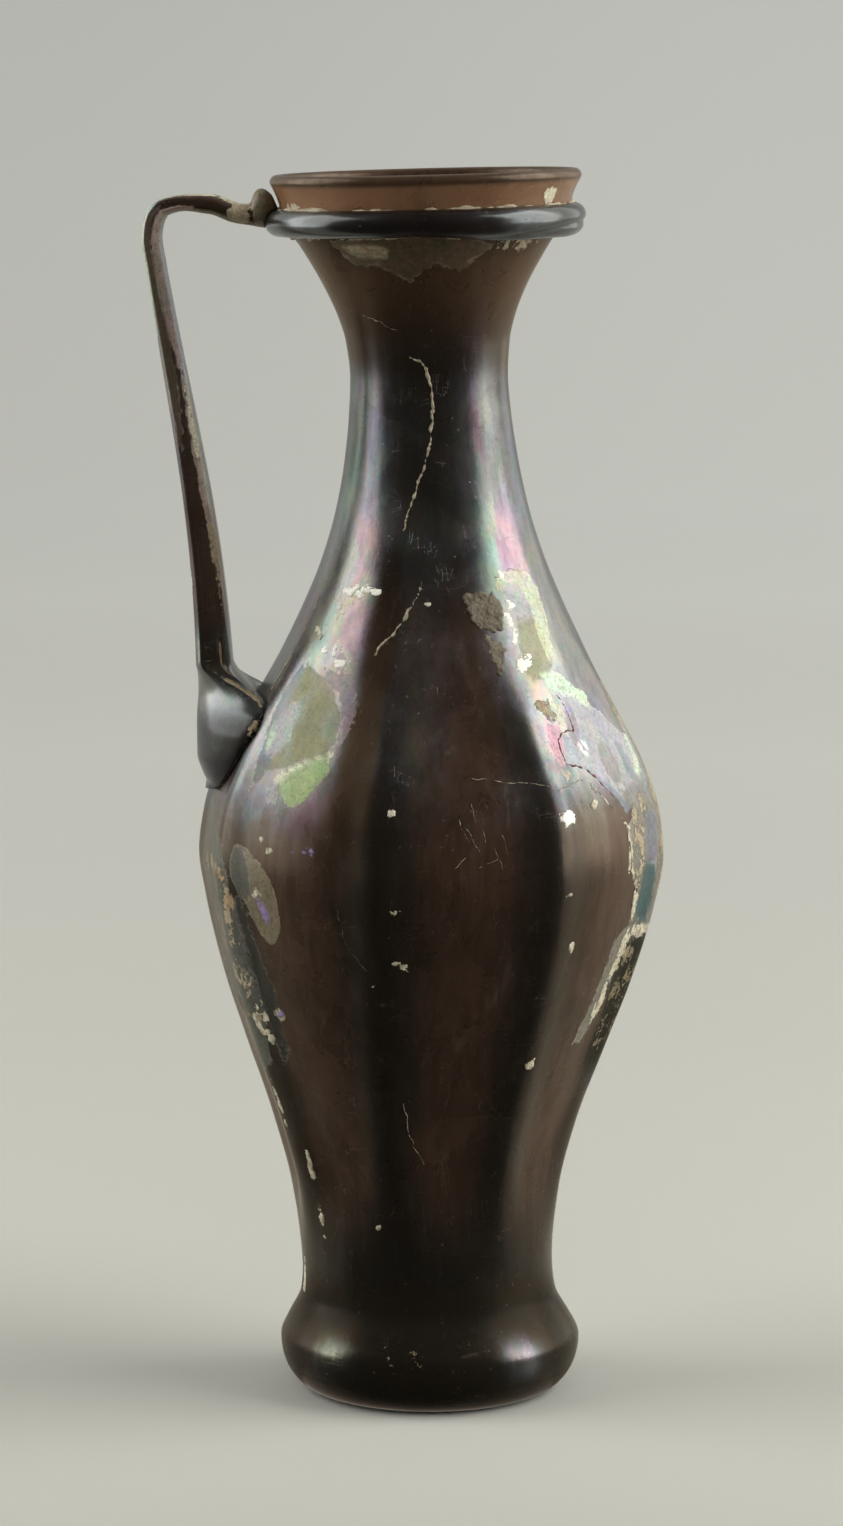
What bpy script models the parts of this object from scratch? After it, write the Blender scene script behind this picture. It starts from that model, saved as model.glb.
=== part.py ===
"""Ribbed glass pitcher.

A hollow blown body with eight upright ribs stands on a spreading foot.  A thick
trail of glass is wound round the mouth, and one strap handle is drawn from that
trail to a spade-shaped pad on the shoulder.

Units are metres and +Z is up.  The pitcher is modelled about the axis of its foot,
and at the end it is moved so that the middle of its bounding box is over the origin.
"""

import math

import bmesh
import bpy

# Rises of the body's stations, each above the one below it
FOOT_BULGE_RISE = 0.0102
WAIST_RISE = 0.0148
BELLY_RISE = 0.0818
NECK_RISE = 0.0934
TRAIL_RISE = 0.0303
COLLAR_RISE = 0.0042
LIP_RISE = 0.0035
LIP_ROUND = 0.0014

# Outer radii at those stations
FOOT_RADIUS = 0.0296
WAIST_RADIUS = 0.0248
BELLY_RADIUS = 0.0462
NECK_RADIUS = 0.0154
FLARE_RADIUS = 0.0275
COLLAR_RADIUS = 0.0286
LIP_RADIUS = 0.0302

# Glass thickness, and the underside
WALL = 0.0020
LIP_THICKNESS = 0.0027
FLOOR_THICKNESS = 0.0040
KICK_HEIGHT = 0.0090
REST_INNER_RADIUS = 0.0185
REST_WIDTH = 0.0030

# Upright ribs
RIB_DEPTH = 0.0017
RIB_HALF_WIDTH = 0.0050
PANEL_FLATTENING = 0.0006
RIB_FOOT_RISE = 0.0020
RIB_FOOT_FADE = 0.0230
RIB_TOP_RISE = 0.0460
RIB_TOP_FADE = 0.0260
INNER_RIB_SHARE = 0.6

# How far the axis leaves the foot's axis, towards +X
LOWER_BODY_SWAY = -0.0012
SHOULDER_SWAY = 0.0007
NECK_SWAY = -0.0002
FLARE_SWAY = -0.0009
MOUTH_SWAY = -0.0009

# Slope of the mouth, as rise over run towards +X and towards +Y
MOUTH_SLOPE_X = 0.025
MOUTH_SLOPE_Y = 0.017

# Where those sways are greatest, as shares of their own stretch of the body
LOWER_BODY_SWAY_PLACE = 0.34
SHOULDER_SWAY_PLACE = 0.55
FLARE_SWAY_PLACE = 0.65

# Trail round the mouth, with its tail end laid below it
TRAIL_STAND_OUT = 0.0036
TRAIL_HEIGHT = 0.0054
TRAIL_TAIL_DROP = 0.0011

# Handle: knob, arm, bend and strap
KNOB_HEIGHT = 0.0077
KNOB_WIDTH = 0.0084
KNOB_RISE = 0.0028
ARM_REACH = 0.0219
ARM_RISE = 0.0023
ARM_THICKNESS = 0.0040
ARM_WIDTH = 0.0080
BEND_DROP = 0.0078
BEND_THICKNESS = 0.0044
STRAP_WIDTH = 0.0110
STRAP_TOP_THICKNESS = 0.0042
STRAP_FOOT_THICKNESS = 0.0080
STRAP_FOOT_WIDTH = 0.0150
STRAP_FOOT_RISE = 0.0020
STRAP_BOW = -0.0016
EDGE_GROOVE = 0.14
FACE_HOLLOW = 0.16

# Handle: pad on the shoulder
PAD_TOP_RISE = 0.0325
PAD_LENGTH = 0.0202
PAD_WIDTH = 0.0350
PAD_STAND_OFF = 0.0119
PAD_EDGE = 0.0016

# Clearance between separate pieces of glass
GAP = 0.0003
HANDLE_GAP = 0.0005

# Fineness of the faceted solids: columns in a panel, rows from the lip down, rows up the inner side
COLUMNS_PER_PANEL = (0.0, 0.07, 0.17, 0.36, 0.64, 0.83, 0.93)
OUTER_ROWS = (2, 1, 6, 10, 8, 3)
INNER_ROWS = (5, 6, 4)
LIP_STEPS = 4
BASE_STEPS = 4
BOWL_STEPS = 4
KICK_SHARES = (1.0, 0.66, 0.33, 0.0)
TRAIL_STEPS = 56
TRAIL_SIDES = 10
HANDLE_SIDES = 24
SHARP_ANGLE = 50.0
SLOPE_STEP = 0.0005
MERGE_DISTANCE = 0.00001

# Directions in degrees from +X towards +Y: the ribs, and where the trail's tail sets in and ends
RIB_DIRECTIONS = (-10.0, 34.0, 78.0, 123.0, 171.0, 208.0, 257.0, 303.0)
TAIL_START = (-95.0, -55.0)
TAIL_END = (-10.0, 35.0)

# Outline between the stations, as shares of the rise and of the change in radius
LOWER_BODY_SHARES = ((0.181, 0.084), (0.361, 0.264), (0.538, 0.511), (0.713, 0.750), (0.888, 0.928))
SHOULDER_SHARES = (
    (0.100, 0.036), (0.201, 0.146), (0.311, 0.326), (0.422, 0.516), (0.523, 0.668),
    (0.624, 0.795), (0.725, 0.888), (0.824, 0.948), (0.925, 0.986),
)
FLARE_SHARES = ((0.228, 0.048), (0.380, 0.146), (0.535, 0.302), (0.686, 0.499), (0.838, 0.727))
FOOT_SHARES = ((0.28, 0.34), (0.65, 0.905))

# Knob, as shares of its height for the place and of its height and width for the section
KNOB_SHARES = (
    (-0.27, 0.21, 0.50, 0.50), (-0.16, 0.08, 0.82, 0.85), (0.01, 0.0, 1.0, 1.0), (0.21, -0.03, 0.84, 1.0),
)

# Arm, as shares of its reach and rise for the place and of its thickness and width for the section
ARM_SHARES = (
    (0.123, -0.52, 1.10, 0.95), (0.23, -0.43, 1.0, 1.0), (0.48, 0.35, 1.0, 1.0), (0.70, 0.48, 0.85, 1.0),
)

# Bend, as shares of the arm's reach and its own drop, and of its thickness and the strap's width
BEND_SHARES = ((0.88, 0.25, 0.864, 0.764), (0.973, 0.55, 1.0, 0.85), (1.0, 1.0, 1.0, 0.9))

# Strap: sections down its length, and the powers that lean its bow and hold back its growth towards the foot
STRAP_SHARES = (0.06, 0.14, 0.28, 0.44, 0.60, 0.75, 0.88, 1.0)
STRAP_BOW_LEAN = 1.5
STRAP_THICKENING = 1.3
STRAP_WIDENING = 3.0

# Section of the arm and strap: widths of the edge groove and face hollow, and squareness across and through
EDGE_GROOVE_WIDTH = 0.35
FACE_HOLLOW_WIDTH = 0.45
SQUARENESS_ACROSS = 0.8
SQUARENESS_THROUGH = 0.7

# Section of the pad: powers of its crown
PAD_CROWN_EDGE = 1.6
PAD_CROWN_TOP = 0.85

# Outline of the pad from its top to its tip, as shares of its length, half width and stand-off
PAD_SHARES = (
    (0.00, 0.50, 1.00), (0.03, 0.62, 1.00), (0.10, 0.80, 1.01), (0.21, 0.94, 1.03), (0.35, 1.00, 1.04),
    (0.51, 0.92, 1.04), (0.67, 0.77, 1.03), (0.80, 0.61, 0.93), (0.90, 0.41, 0.70), (0.97, 0.18, 0.30),
)

# Glass of each piece
VESSEL_COLOUR = (0.035, 0.020, 0.018, 1.0)
TRAIL_COLOUR = (0.030, 0.022, 0.024, 1.0)
HANDLE_COLOUR = (0.040, 0.024, 0.020, 1.0)
GLASS_ROUGHNESS = 0.25

# Heights above the floor
FOOT_BULGE_Z = FOOT_BULGE_RISE
WAIST_Z = FOOT_BULGE_Z + WAIST_RISE
BELLY_Z = WAIST_Z + BELLY_RISE
NECK_Z = BELLY_Z + NECK_RISE
TRAIL_Z = NECK_Z + TRAIL_RISE
COLLAR_Z = TRAIL_Z + COLLAR_RISE
LIP_Z = COLLAR_Z + LIP_RISE

# The trail lies on the mouth
TRAIL_OUTER_RADIUS = FLARE_RADIUS + TRAIL_STAND_OUT


def between(low, high, shares):
    """Stations inside one stretch of an outline, from shares of its rise and of its change."""
    return [(low[0] + (high[0] - low[0]) * a, low[1] + (high[1] - low[1]) * b) for a, b in shares]


def smooth_curve(stations, height):
    """Cubic through (height, value) stations that never overshoots between two of them."""
    if height <= stations[0][0]:
        return stations[0][1]
    if height >= stations[-1][0]:
        return stations[-1][1]
    slopes = []
    for (z0, v0), (z1, v1) in zip(stations, stations[1:]):
        slopes.append((v1 - v0) / (z1 - z0))
    tangents = [slopes[0]]
    for before, after in zip(slopes, slopes[1:]):
        tangents.append(0.0 if before * after <= 0.0 else 2.0 * before * after / (before + after))
    tangents.append(slopes[-1])
    k = max(i for i in range(len(slopes)) if stations[i][0] <= height)
    span = stations[k + 1][0] - stations[k][0]
    t = (height - stations[k][0]) / span
    start = (1.0 + 2.0 * t) * (1.0 - t) ** 2 * stations[k][1] + t * (1.0 - t) ** 2 * span * tangents[k]
    end = t * t * (3.0 - 2.0 * t) * stations[k + 1][1] + t * t * (t - 1.0) * span * tangents[k + 1]
    return start + end


def fade(low, high, value):
    """Smooth step from 0 at low to 1 at high."""
    t = min(max((value - low) / (high - low), 0.0), 1.0)
    return t * t * (3.0 - 2.0 * t)


def body_stations():
    """Height and outer radius of the body, from the foot's bulge to the lip."""
    bulge = (FOOT_BULGE_Z, FOOT_RADIUS)
    waist = (WAIST_Z, WAIST_RADIUS)
    belly = (BELLY_Z, BELLY_RADIUS)
    neck = (NECK_Z, NECK_RADIUS)
    flare = (TRAIL_Z, FLARE_RADIUS)
    stations = [bulge] + between(bulge, waist, FOOT_SHARES)
    stations += [waist] + between(waist, belly, LOWER_BODY_SHARES)
    stations += [belly] + between(belly, neck, SHOULDER_SHARES)
    stations += [neck] + between(neck, flare, FLARE_SHARES)
    stations += [flare, (COLLAR_Z, COLLAR_RADIUS), (LIP_Z, LIP_RADIUS)]
    return stations


def sway_stations():
    """Height and sideways place of the body's axis."""
    return [
        (FOOT_BULGE_Z, 0.0),
        (WAIST_Z + LOWER_BODY_SWAY_PLACE * BELLY_RISE, LOWER_BODY_SWAY),
        (BELLY_Z, 0.0),
        (BELLY_Z + SHOULDER_SWAY_PLACE * NECK_RISE, SHOULDER_SWAY),
        (NECK_Z, NECK_SWAY),
        (NECK_Z + FLARE_SWAY_PLACE * TRAIL_RISE, FLARE_SWAY),
        (TRAIL_Z, MOUTH_SWAY),
    ]


BODY = body_stations()
SWAY = sway_stations()


def outer_radius(height):
    """Radius of the body's rib crests at a height."""
    return smooth_curve(BODY, height)


def rib_strength(height):
    """How much of the ribs' depth shows at a height, from 0 to 1."""
    low = WAIST_Z + RIB_FOOT_RISE
    high = BELLY_Z + RIB_TOP_RISE
    return fade(low, low + RIB_FOOT_FADE, height) * (1.0 - fade(high - RIB_TOP_FADE, high, height))


def rib_inset(height, angle):
    """How far the surface lies inside the rib crests, at a height and an angle in radians."""
    strength = rib_strength(height)
    if strength == 0.0:
        return 0.0
    degrees = (math.degrees(angle) - RIB_DIRECTIONS[0]) % 360.0 + RIB_DIRECTIONS[0]
    crests = RIB_DIRECTIONS + (RIB_DIRECTIONS[0] + 360.0,)
    left = max(c for c in crests if c <= degrees)
    right = min(c for c in crests if c > degrees)
    across = math.radians(min(degrees - left, right - degrees)) * outer_radius(height)
    valley = 1.0 - math.exp(-((across / RIB_HALF_WIDTH) ** 2))
    middle = math.sin(math.pi * (degrees - left) / (right - left)) ** 2
    return strength * (RIB_DEPTH * valley + PANEL_FLATTENING * middle)


def mouth_share(height):
    """How far the mouth's slope has set in at a height, from 0 at the neck to 1 at the trail."""
    return fade(NECK_Z, TRAIL_Z, height)


def settle(x, y, z):
    """Moves a point of the straight pitcher to its place on the swayed one with a sloping mouth."""
    share = mouth_share(z)
    return x + smooth_curve(SWAY, z), y, z + share * (MOUTH_SLOPE_X * x + MOUTH_SLOPE_Y * y)


def unsettle(x, y, z):
    """The reverse of settle, close enough for clearances."""
    share = mouth_share(z)
    straight_z = z - share * (MOUTH_SLOPE_X * x + MOUTH_SLOPE_Y * y)
    return x - smooth_curve(SWAY, straight_z), y, straight_z


def trail_radius(height):
    """Radius that clears the trail at a height, or 0 above and below it."""
    half = TRAIL_HEIGHT / 2.0
    clear = half + HANDLE_GAP
    t = (height - TRAIL_Z) / clear
    if abs(t) >= 1.0:
        return 0.0
    return TRAIL_OUTER_RADIUS - half + clear * math.sqrt(1.0 - t * t)


def new_object(name, mesh, collection, colour):
    """Links a mesh as a named, smoothly shaded object with its own glass material."""
    material = bpy.data.materials.new(name + "_glass")
    material.use_nodes = True
    shader = material.node_tree.nodes["Principled BSDF"]
    shader.inputs["Base Color"].default_value = colour
    shader.inputs["Roughness"].default_value = GLASS_ROUGHNESS
    shader.inputs["Metallic"].default_value = 0.0
    mesh.materials.append(material)
    mesh.shade_smooth()
    mesh.set_sharp_from_angle(angle=math.radians(SHARP_ANGLE))
    piece = bpy.data.objects.new(name, mesh)
    collection.objects.link(piece)
    return piece


def screw_mesh(name, profile, closed, steps):
    """Turns a profile of (radius, height) points about Z and returns the merged mesh."""
    outline = bpy.data.meshes.new(name + "_profile")
    edges = [(i, i + 1) for i in range(len(profile) - 1)]
    if closed:
        edges.append((len(profile) - 1, 0))
    outline.from_pydata([(r, 0.0, z) for r, z in profile], edges, [])
    turned = bpy.data.objects.new(name + "_profile", outline)
    bpy.context.scene.collection.objects.link(turned)
    screw = turned.modifiers.new("Screw", "SCREW")
    screw.axis = "Z"
    screw.steps = steps
    screw.render_steps = steps
    screw.use_merge_vertices = True
    screw.merge_threshold = MERGE_DISTANCE
    depsgraph = bpy.context.evaluated_depsgraph_get()
    mesh = bpy.data.meshes.new_from_object(turned.evaluated_get(depsgraph))
    mesh.name = name
    bpy.data.objects.remove(turned)
    bpy.data.meshes.remove(outline)
    return mesh


def body_profile():
    """Outer side from the lip to the foot, the underside, and back up the inner side."""
    outside = []
    lip_half = LIP_THICKNESS / 2.0
    for step in range(LIP_STEPS + 1):
        turn = math.pi * step / LIP_STEPS
        outside.append((LIP_RADIUS - lip_half * (1.0 + math.cos(turn)), LIP_Z + LIP_ROUND * math.sin(turn)))
    levels = (LIP_Z, COLLAR_Z, TRAIL_Z, NECK_Z, BELLY_Z, WAIST_Z, FOOT_BULGE_Z)
    for start, end, count in zip(levels, levels[1:], OUTER_ROWS):
        outside += [(outer_radius(z), z) for z in rows(start, end, count)]
    rest_outer = REST_INNER_RADIUS + REST_WIDTH
    for step in range(1, BASE_STEPS + 1):
        turn = 0.5 * math.pi * step / BASE_STEPS
        across = (FOOT_RADIUS - rest_outer) * math.cos(turn)
        outside.append((rest_outer + across, FOOT_BULGE_Z * (1.0 - math.sin(turn))))
    underside = []
    for share in KICK_SHARES:
        underside.append((REST_INNER_RADIUS * share, KICK_HEIGHT * (1.0 - share * share)))
    inside = []
    floor_z = KICK_HEIGHT + FLOOR_THICKNESS
    for step in range(BOWL_STEPS):
        turn = 0.5 * math.pi * step / BOWL_STEPS
        bowl = WAIST_Z - (WAIST_Z - floor_z) * math.cos(turn)
        inside.append((inner_radius(WAIST_Z) * math.sin(turn), bowl))
    inside.append((inner_radius(WAIST_Z), WAIST_Z))
    levels = (WAIST_Z, BELLY_Z, NECK_Z, TRAIL_Z)
    for start, end, count in zip(levels, levels[1:], INNER_ROWS):
        inside += [(inner_radius(z), z) for z in rows(start, end, count)]
    inside.append((inner_radius(COLLAR_Z), COLLAR_Z))
    return inside + outside + underside


def rows(start, end, count):
    """Heights that divide a stretch evenly, without its start and with its end."""
    return [start + (end - start) * step / count for step in range(1, count + 1)]


def inner_radius(height):
    """Radius of the inner side of the wall, measured square to the outer side."""
    slope = (outer_radius(height + SLOPE_STEP) - outer_radius(height - SLOPE_STEP)) / (2.0 * SLOPE_STEP)
    return outer_radius(height) - WALL * math.sqrt(1.0 + slope * slope)


def build_vessel(collection):
    """The blown body: turned, then ribbed, swayed and sloped at the mouth."""
    columns = len(RIB_DIRECTIONS) * len(COLUMNS_PER_PANEL)
    mesh = screw_mesh("vessel", body_profile(), False, columns)
    crests = RIB_DIRECTIONS + (RIB_DIRECTIONS[0] + 360.0,)
    for vertex in mesh.vertices:
        x, y, z = vertex.co
        radius = math.hypot(x, y)
        if radius > WALL / 2.0:
            column = round(math.atan2(y, x) / math.tau * columns) % columns
            panel, place = divmod(column, len(COLUMNS_PER_PANEL))
            width = crests[panel + 1] - crests[panel]
            angle = math.radians(crests[panel] + COLUMNS_PER_PANEL[place] * width)
            outside = radius > outer_radius(z) - WALL / 2.0
            radius -= rib_inset(z, angle) * (1.0 if outside else INNER_RIB_SHARE)
            x, y = radius * math.cos(angle), radius * math.sin(angle)
        vertex.co = settle(x, y, z)
    close_poles(mesh)
    return new_object("vessel", mesh, collection, VESSEL_COLOUR)


def close_poles(mesh):
    """Merges doubled points, so that the turned shape is one closed body."""
    work = bmesh.new()
    work.from_mesh(mesh)
    bmesh.ops.remove_doubles(work, verts=work.verts, dist=MERGE_DISTANCE)
    bmesh.ops.dissolve_degenerate(work, edges=work.edges, dist=MERGE_DISTANCE)
    work.to_mesh(mesh)
    work.free()


def build_trail(collection):
    """The thick trail wound under the lip, flat where it lies against the mouth."""
    half = TRAIL_HEIGHT / 2.0
    profile = []
    for side in range(TRAIL_SIDES):
        turn = math.pi / 2.0 - math.tau * (side + 0.5) / TRAIL_SIDES
        radius = TRAIL_OUTER_RADIUS - half + half * math.cos(turn)
        z = TRAIL_Z + half * math.sin(turn)
        profile.append((max(radius, outer_radius(z) + GAP), z))
    mesh = screw_mesh("rim_trail", profile, True, TRAIL_STEPS)
    for vertex in mesh.vertices:
        x, y, z = vertex.co
        angle = math.degrees(math.atan2(y, x))
        if z < TRAIL_Z:
            tail = fade(*TAIL_START, angle) * (1.0 - fade(*TAIL_END, angle))
            radius = math.hypot(x, y)
            lower = z - TRAIL_TAIL_DROP * tail * (TRAIL_Z - z) / half
            keep = max(radius, outer_radius(lower) + GAP) / radius
            x, y, z = x * keep, y * keep, lower
        vertex.co = settle(x, y, z)
    close_poles(mesh)
    return new_object("rim_trail", mesh, collection, TRAIL_COLOUR)


def clear_of_vessel(x, y, z):
    """Pushes a point of the handle out of the body and the trail, level with where it is."""
    sx, sy, sz = unsettle(x, y, z)
    radius = math.hypot(sx, sy)
    angle = math.atan2(sy, sx)
    solid = outer_radius(sz) - rib_inset(sz, angle)
    wanted = max(solid + HANDLE_GAP, trail_radius(sz))
    if sz > LIP_Z + LIP_ROUND or radius >= wanted:
        return x, y, z
    return x + (wanted - radius) * math.cos(angle), y + (wanted - radius) * math.sin(angle), z


def handle_stations():
    """Centre line of the knob, arm, bend and strap: reach from the axis, height, thickness, width."""
    face = TRAIL_OUTER_RADIUS - MOUTH_SWAY
    level = TRAIL_Z - MOUTH_SLOPE_X * face + KNOB_RISE
    bend = face + ARM_REACH
    crest = level + ARM_RISE
    corner = crest - BEND_DROP
    pad_top = BELLY_Z + PAD_TOP_RISE
    drop = corner - (pad_top + STRAP_FOOT_RISE)
    foot = outer_radius(pad_top) + PAD_STAND_OFF - STRAP_FOOT_THICKNESS / 2.0
    stations = []
    for out, up, thick, wide in KNOB_SHARES:
        place = (face + out * KNOB_HEIGHT, level + up * KNOB_HEIGHT)
        stations.append(place + (thick * KNOB_HEIGHT, wide * KNOB_WIDTH))
    for out, up, thick, wide in ARM_SHARES:
        place = (face + out * ARM_REACH, level + up * ARM_RISE)
        stations.append(place + (thick * ARM_THICKNESS, wide * ARM_WIDTH))
    for out, down, thick, wide in BEND_SHARES:
        place = (face + out * ARM_REACH, crest - down * BEND_DROP)
        stations.append(place + (thick * BEND_THICKNESS, wide * STRAP_WIDTH))
    for share in STRAP_SHARES:
        bow = STRAP_BOW * math.sin(math.pi * share ** STRAP_BOW_LEAN)
        reach = bend + (foot - bend) * share + bow
        growth = share ** STRAP_THICKENING
        thickness = STRAP_TOP_THICKNESS + (STRAP_FOOT_THICKNESS - STRAP_TOP_THICKNESS) * growth
        width = STRAP_WIDTH + (STRAP_FOOT_WIDTH - STRAP_WIDTH) * share ** STRAP_WIDENING
        stations.append((reach, corner - drop * share, thickness, width))
    return stations


def strap_ring(station, before, after):
    """Points round one section of the arm or strap, square to its centre line."""
    reach, height, thickness, width = station
    along = (after[0] - before[0], after[1] - before[1])
    length = math.hypot(*along)
    normal = (-along[1] / length, along[0] / length)
    points = []
    for side in range(HANDLE_SIDES):
        turn = math.tau * side / HANDLE_SIDES
        c, s = math.cos(turn), math.sin(turn)
        groove = 1.0 - EDGE_GROOVE * math.exp(-((s / EDGE_GROOVE_WIDTH) ** 2))
        hollow = 1.0 - (FACE_HOLLOW * math.exp(-((c / FACE_HOLLOW_WIDTH) ** 2)) if s > 0.0 else 0.0)
        across = width / 2.0 * math.copysign(abs(c) ** SQUARENESS_ACROSS, c) * groove
        through = thickness / 2.0 * math.copysign(abs(s) ** SQUARENESS_THROUGH, s) * hollow
        points.append(clear_of_vessel(-(reach + normal[0] * through), across, height + normal[1] * through))
    return points


def pad_ring(share, half_width, stand_off):
    """Points round one level section of the pad, its back lying on the shoulder."""
    height = BELLY_Z + PAD_TOP_RISE - PAD_LENGTH * share
    surface = outer_radius(height)
    points = []
    for side in range(HANDLE_SIDES):
        turn = math.tau * side / HANDLE_SIDES
        c, s = math.cos(turn), math.sin(turn)
        angle = math.pi - half_width * c / surface
        lift = HANDLE_GAP + PAD_EDGE / 2.0 * (1.0 + s)
        if s > 0.0:
            lift += (stand_off - PAD_EDGE) * (1.0 - abs(c) ** PAD_CROWN_EDGE) ** PAD_CROWN_TOP
        elif s < 0.0:
            lift = HANDLE_GAP
        bridged = max(s, 0.0) * min(stand_off / (3.0 * PAD_EDGE), 1.0)
        radius = surface - rib_inset(height, angle) * (1.0 - bridged) + lift
        points.append(settle(radius * math.cos(angle), radius * math.sin(angle), height))
    return points


def handle_rings():
    """All sections of the handle, from the knob's face to the pad's tip."""
    stations = handle_stations()
    rings = []
    for k, station in enumerate(stations):
        before = stations[max(k - 1, 0)]
        after = stations[min(k + 1, len(stations) - 1)]
        rings.append(strap_ring(station, before, after))
    for share, half_width, stand_off in PAD_SHARES:
        fall = PAD_STAND_OFF + outer_radius(BELLY_Z + PAD_TOP_RISE) - outer_radius(
            BELLY_Z + PAD_TOP_RISE - PAD_LENGTH * share)
        rings.append(pad_ring(share, half_width * PAD_WIDTH / 2.0, max(fall * stand_off, PAD_EDGE)))
    return rings


def build_handle(collection):
    """The drawn handle: a loft through its sections, closed at the knob and at the pad's tip."""
    work = bmesh.new()
    loops = [[work.verts.new(point) for point in ring] for ring in handle_rings()]
    for lower, upper in zip(loops, loops[1:]):
        for side in range(HANDLE_SIDES):
            following = (side + 1) % HANDLE_SIDES
            work.faces.new((lower[side], lower[following], upper[following], upper[side]))
    work.faces.new(list(reversed(loops[0])))
    work.faces.new(loops[-1])
    bmesh.ops.recalc_face_normals(work, faces=work.faces)
    mesh = bpy.data.meshes.new("handle")
    work.to_mesh(mesh)
    work.free()
    return new_object("handle", mesh, collection, HANDLE_COLOUR)


def centre_over_origin(pieces):
    """Moves the pieces together, so that the middle of their box is over the origin."""
    points = [vertex.co for piece in pieces for vertex in piece.data.vertices]
    middle_x = (min(p.x for p in points) + max(p.x for p in points)) / 2.0
    middle_y = (min(p.y for p in points) + max(p.y for p in points)) / 2.0
    for piece in pieces:
        piece.location = (-middle_x, -middle_y, 0.0)


def main():
    """Clears the scene and builds the three pieces of glass."""
    for old in list(bpy.data.objects):
        bpy.data.objects.remove(old)
    collection = bpy.data.collections.new("pitcher")
    bpy.context.scene.collection.children.link(collection)
    pieces = [build_vessel(collection), build_trail(collection), build_handle(collection)]
    centre_over_origin(pieces)


main()
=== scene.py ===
"""Looks of the ribbed glass pitcher: dark glass, weathering crust, a plain studio and the camera.

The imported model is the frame.  The body, the trail and the handle repeat the outline of the solids
at a finer scale and replace them.  Flakes, cracks and seam crust lie on them.  Every piece rides on
the one body.
"""

import logging
import math
from dataclasses import dataclass, field
from enum import Enum
from typing import Callable

import bmesh
import bpy
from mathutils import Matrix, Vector, noise


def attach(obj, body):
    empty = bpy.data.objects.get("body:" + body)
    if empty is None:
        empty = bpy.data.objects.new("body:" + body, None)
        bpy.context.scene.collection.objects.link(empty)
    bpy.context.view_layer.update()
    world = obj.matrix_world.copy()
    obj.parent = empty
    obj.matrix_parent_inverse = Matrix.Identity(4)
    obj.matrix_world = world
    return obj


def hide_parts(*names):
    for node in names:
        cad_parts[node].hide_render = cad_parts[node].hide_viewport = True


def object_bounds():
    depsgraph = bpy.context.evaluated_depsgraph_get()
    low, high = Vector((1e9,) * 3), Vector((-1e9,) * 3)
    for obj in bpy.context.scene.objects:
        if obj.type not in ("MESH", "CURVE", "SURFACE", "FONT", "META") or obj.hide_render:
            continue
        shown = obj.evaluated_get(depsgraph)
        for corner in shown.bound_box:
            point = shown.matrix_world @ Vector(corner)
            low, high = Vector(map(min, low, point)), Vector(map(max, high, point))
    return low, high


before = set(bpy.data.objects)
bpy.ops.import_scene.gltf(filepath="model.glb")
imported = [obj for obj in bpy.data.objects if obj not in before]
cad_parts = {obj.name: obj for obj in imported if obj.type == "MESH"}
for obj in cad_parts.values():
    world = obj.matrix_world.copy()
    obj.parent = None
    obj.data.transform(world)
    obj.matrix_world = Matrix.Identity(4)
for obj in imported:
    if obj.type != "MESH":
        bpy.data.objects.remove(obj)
CAD_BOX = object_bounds()

LOG = logging.getLogger("pitcher")

Colour = tuple[float, float, float]
Station = tuple[float, float]
Ring = tuple[float, list[Vector]]
Socket = bpy.types.NodeSocket

BODY = "root"
MM = 0.001


def fade(low: float, high: float, value: float) -> float:
    """Smooth step.

    Args:
        low: Value at which the step is still 0.
        high: Value at which the step has reached 1.
        value: Where the step is read.

    Returns:
        The step, from 0 to 1.
    """
    t = min(max((value - low) / (high - low), 0.0), 1.0)
    return t * t * (3.0 - 2.0 * t)


def between(low: Station, high: Station, shares: tuple[Station, ...]) -> list[Station]:
    """Stations inside one stretch of an outline.

    Args:
        low: Height and radius where the stretch starts.
        high: Height and radius where it ends.
        shares: Shares of the stretch's rise and of its change in radius.

    Returns:
        The stations between the two ends.
    """
    return [(low[0] + (high[0] - low[0]) * a, low[1] + (high[1] - low[1]) * b) for a, b in shares]


def rows(start: float, end: float, count: int) -> list[float]:
    """Heights that divide a stretch evenly, without its start and with its end.

    Args:
        start: Where the stretch starts.
        end: Where it ends.
        count: How many parts it has.

    Returns:
        The heights, from start to end.
    """
    return [start + (end - start) * step / count for step in range(1, count + 1)]


def bell(middle: float, half: float, value: float) -> float:
    """A bell curve: 1 at its middle, 0.37 at half its width away."""
    return math.exp(-(((value - middle) / half) ** 2))


def hill(rise: Station, fall: Station, value: float) -> float:
    """A step up and a step down again, each from its first to its second value."""
    return fade(*rise, value) * (1.0 - fade(*fall, value))


def polar(radius: float, angle: float, height: float) -> Vector:
    """A point from its distance to Z, its direction in radians and its height."""
    return Vector((radius * math.cos(angle), radius * math.sin(angle), height))


def circle(centre: float, radius: float, sides: int) -> list[Station]:
    """Points round a circle that lies across a turned profile, for turned."""
    turns = [math.tau * side / sides for side in range(sides)]
    return [(centre + radius * math.cos(turn), radius * math.sin(turn)) for turn in turns]


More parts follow.
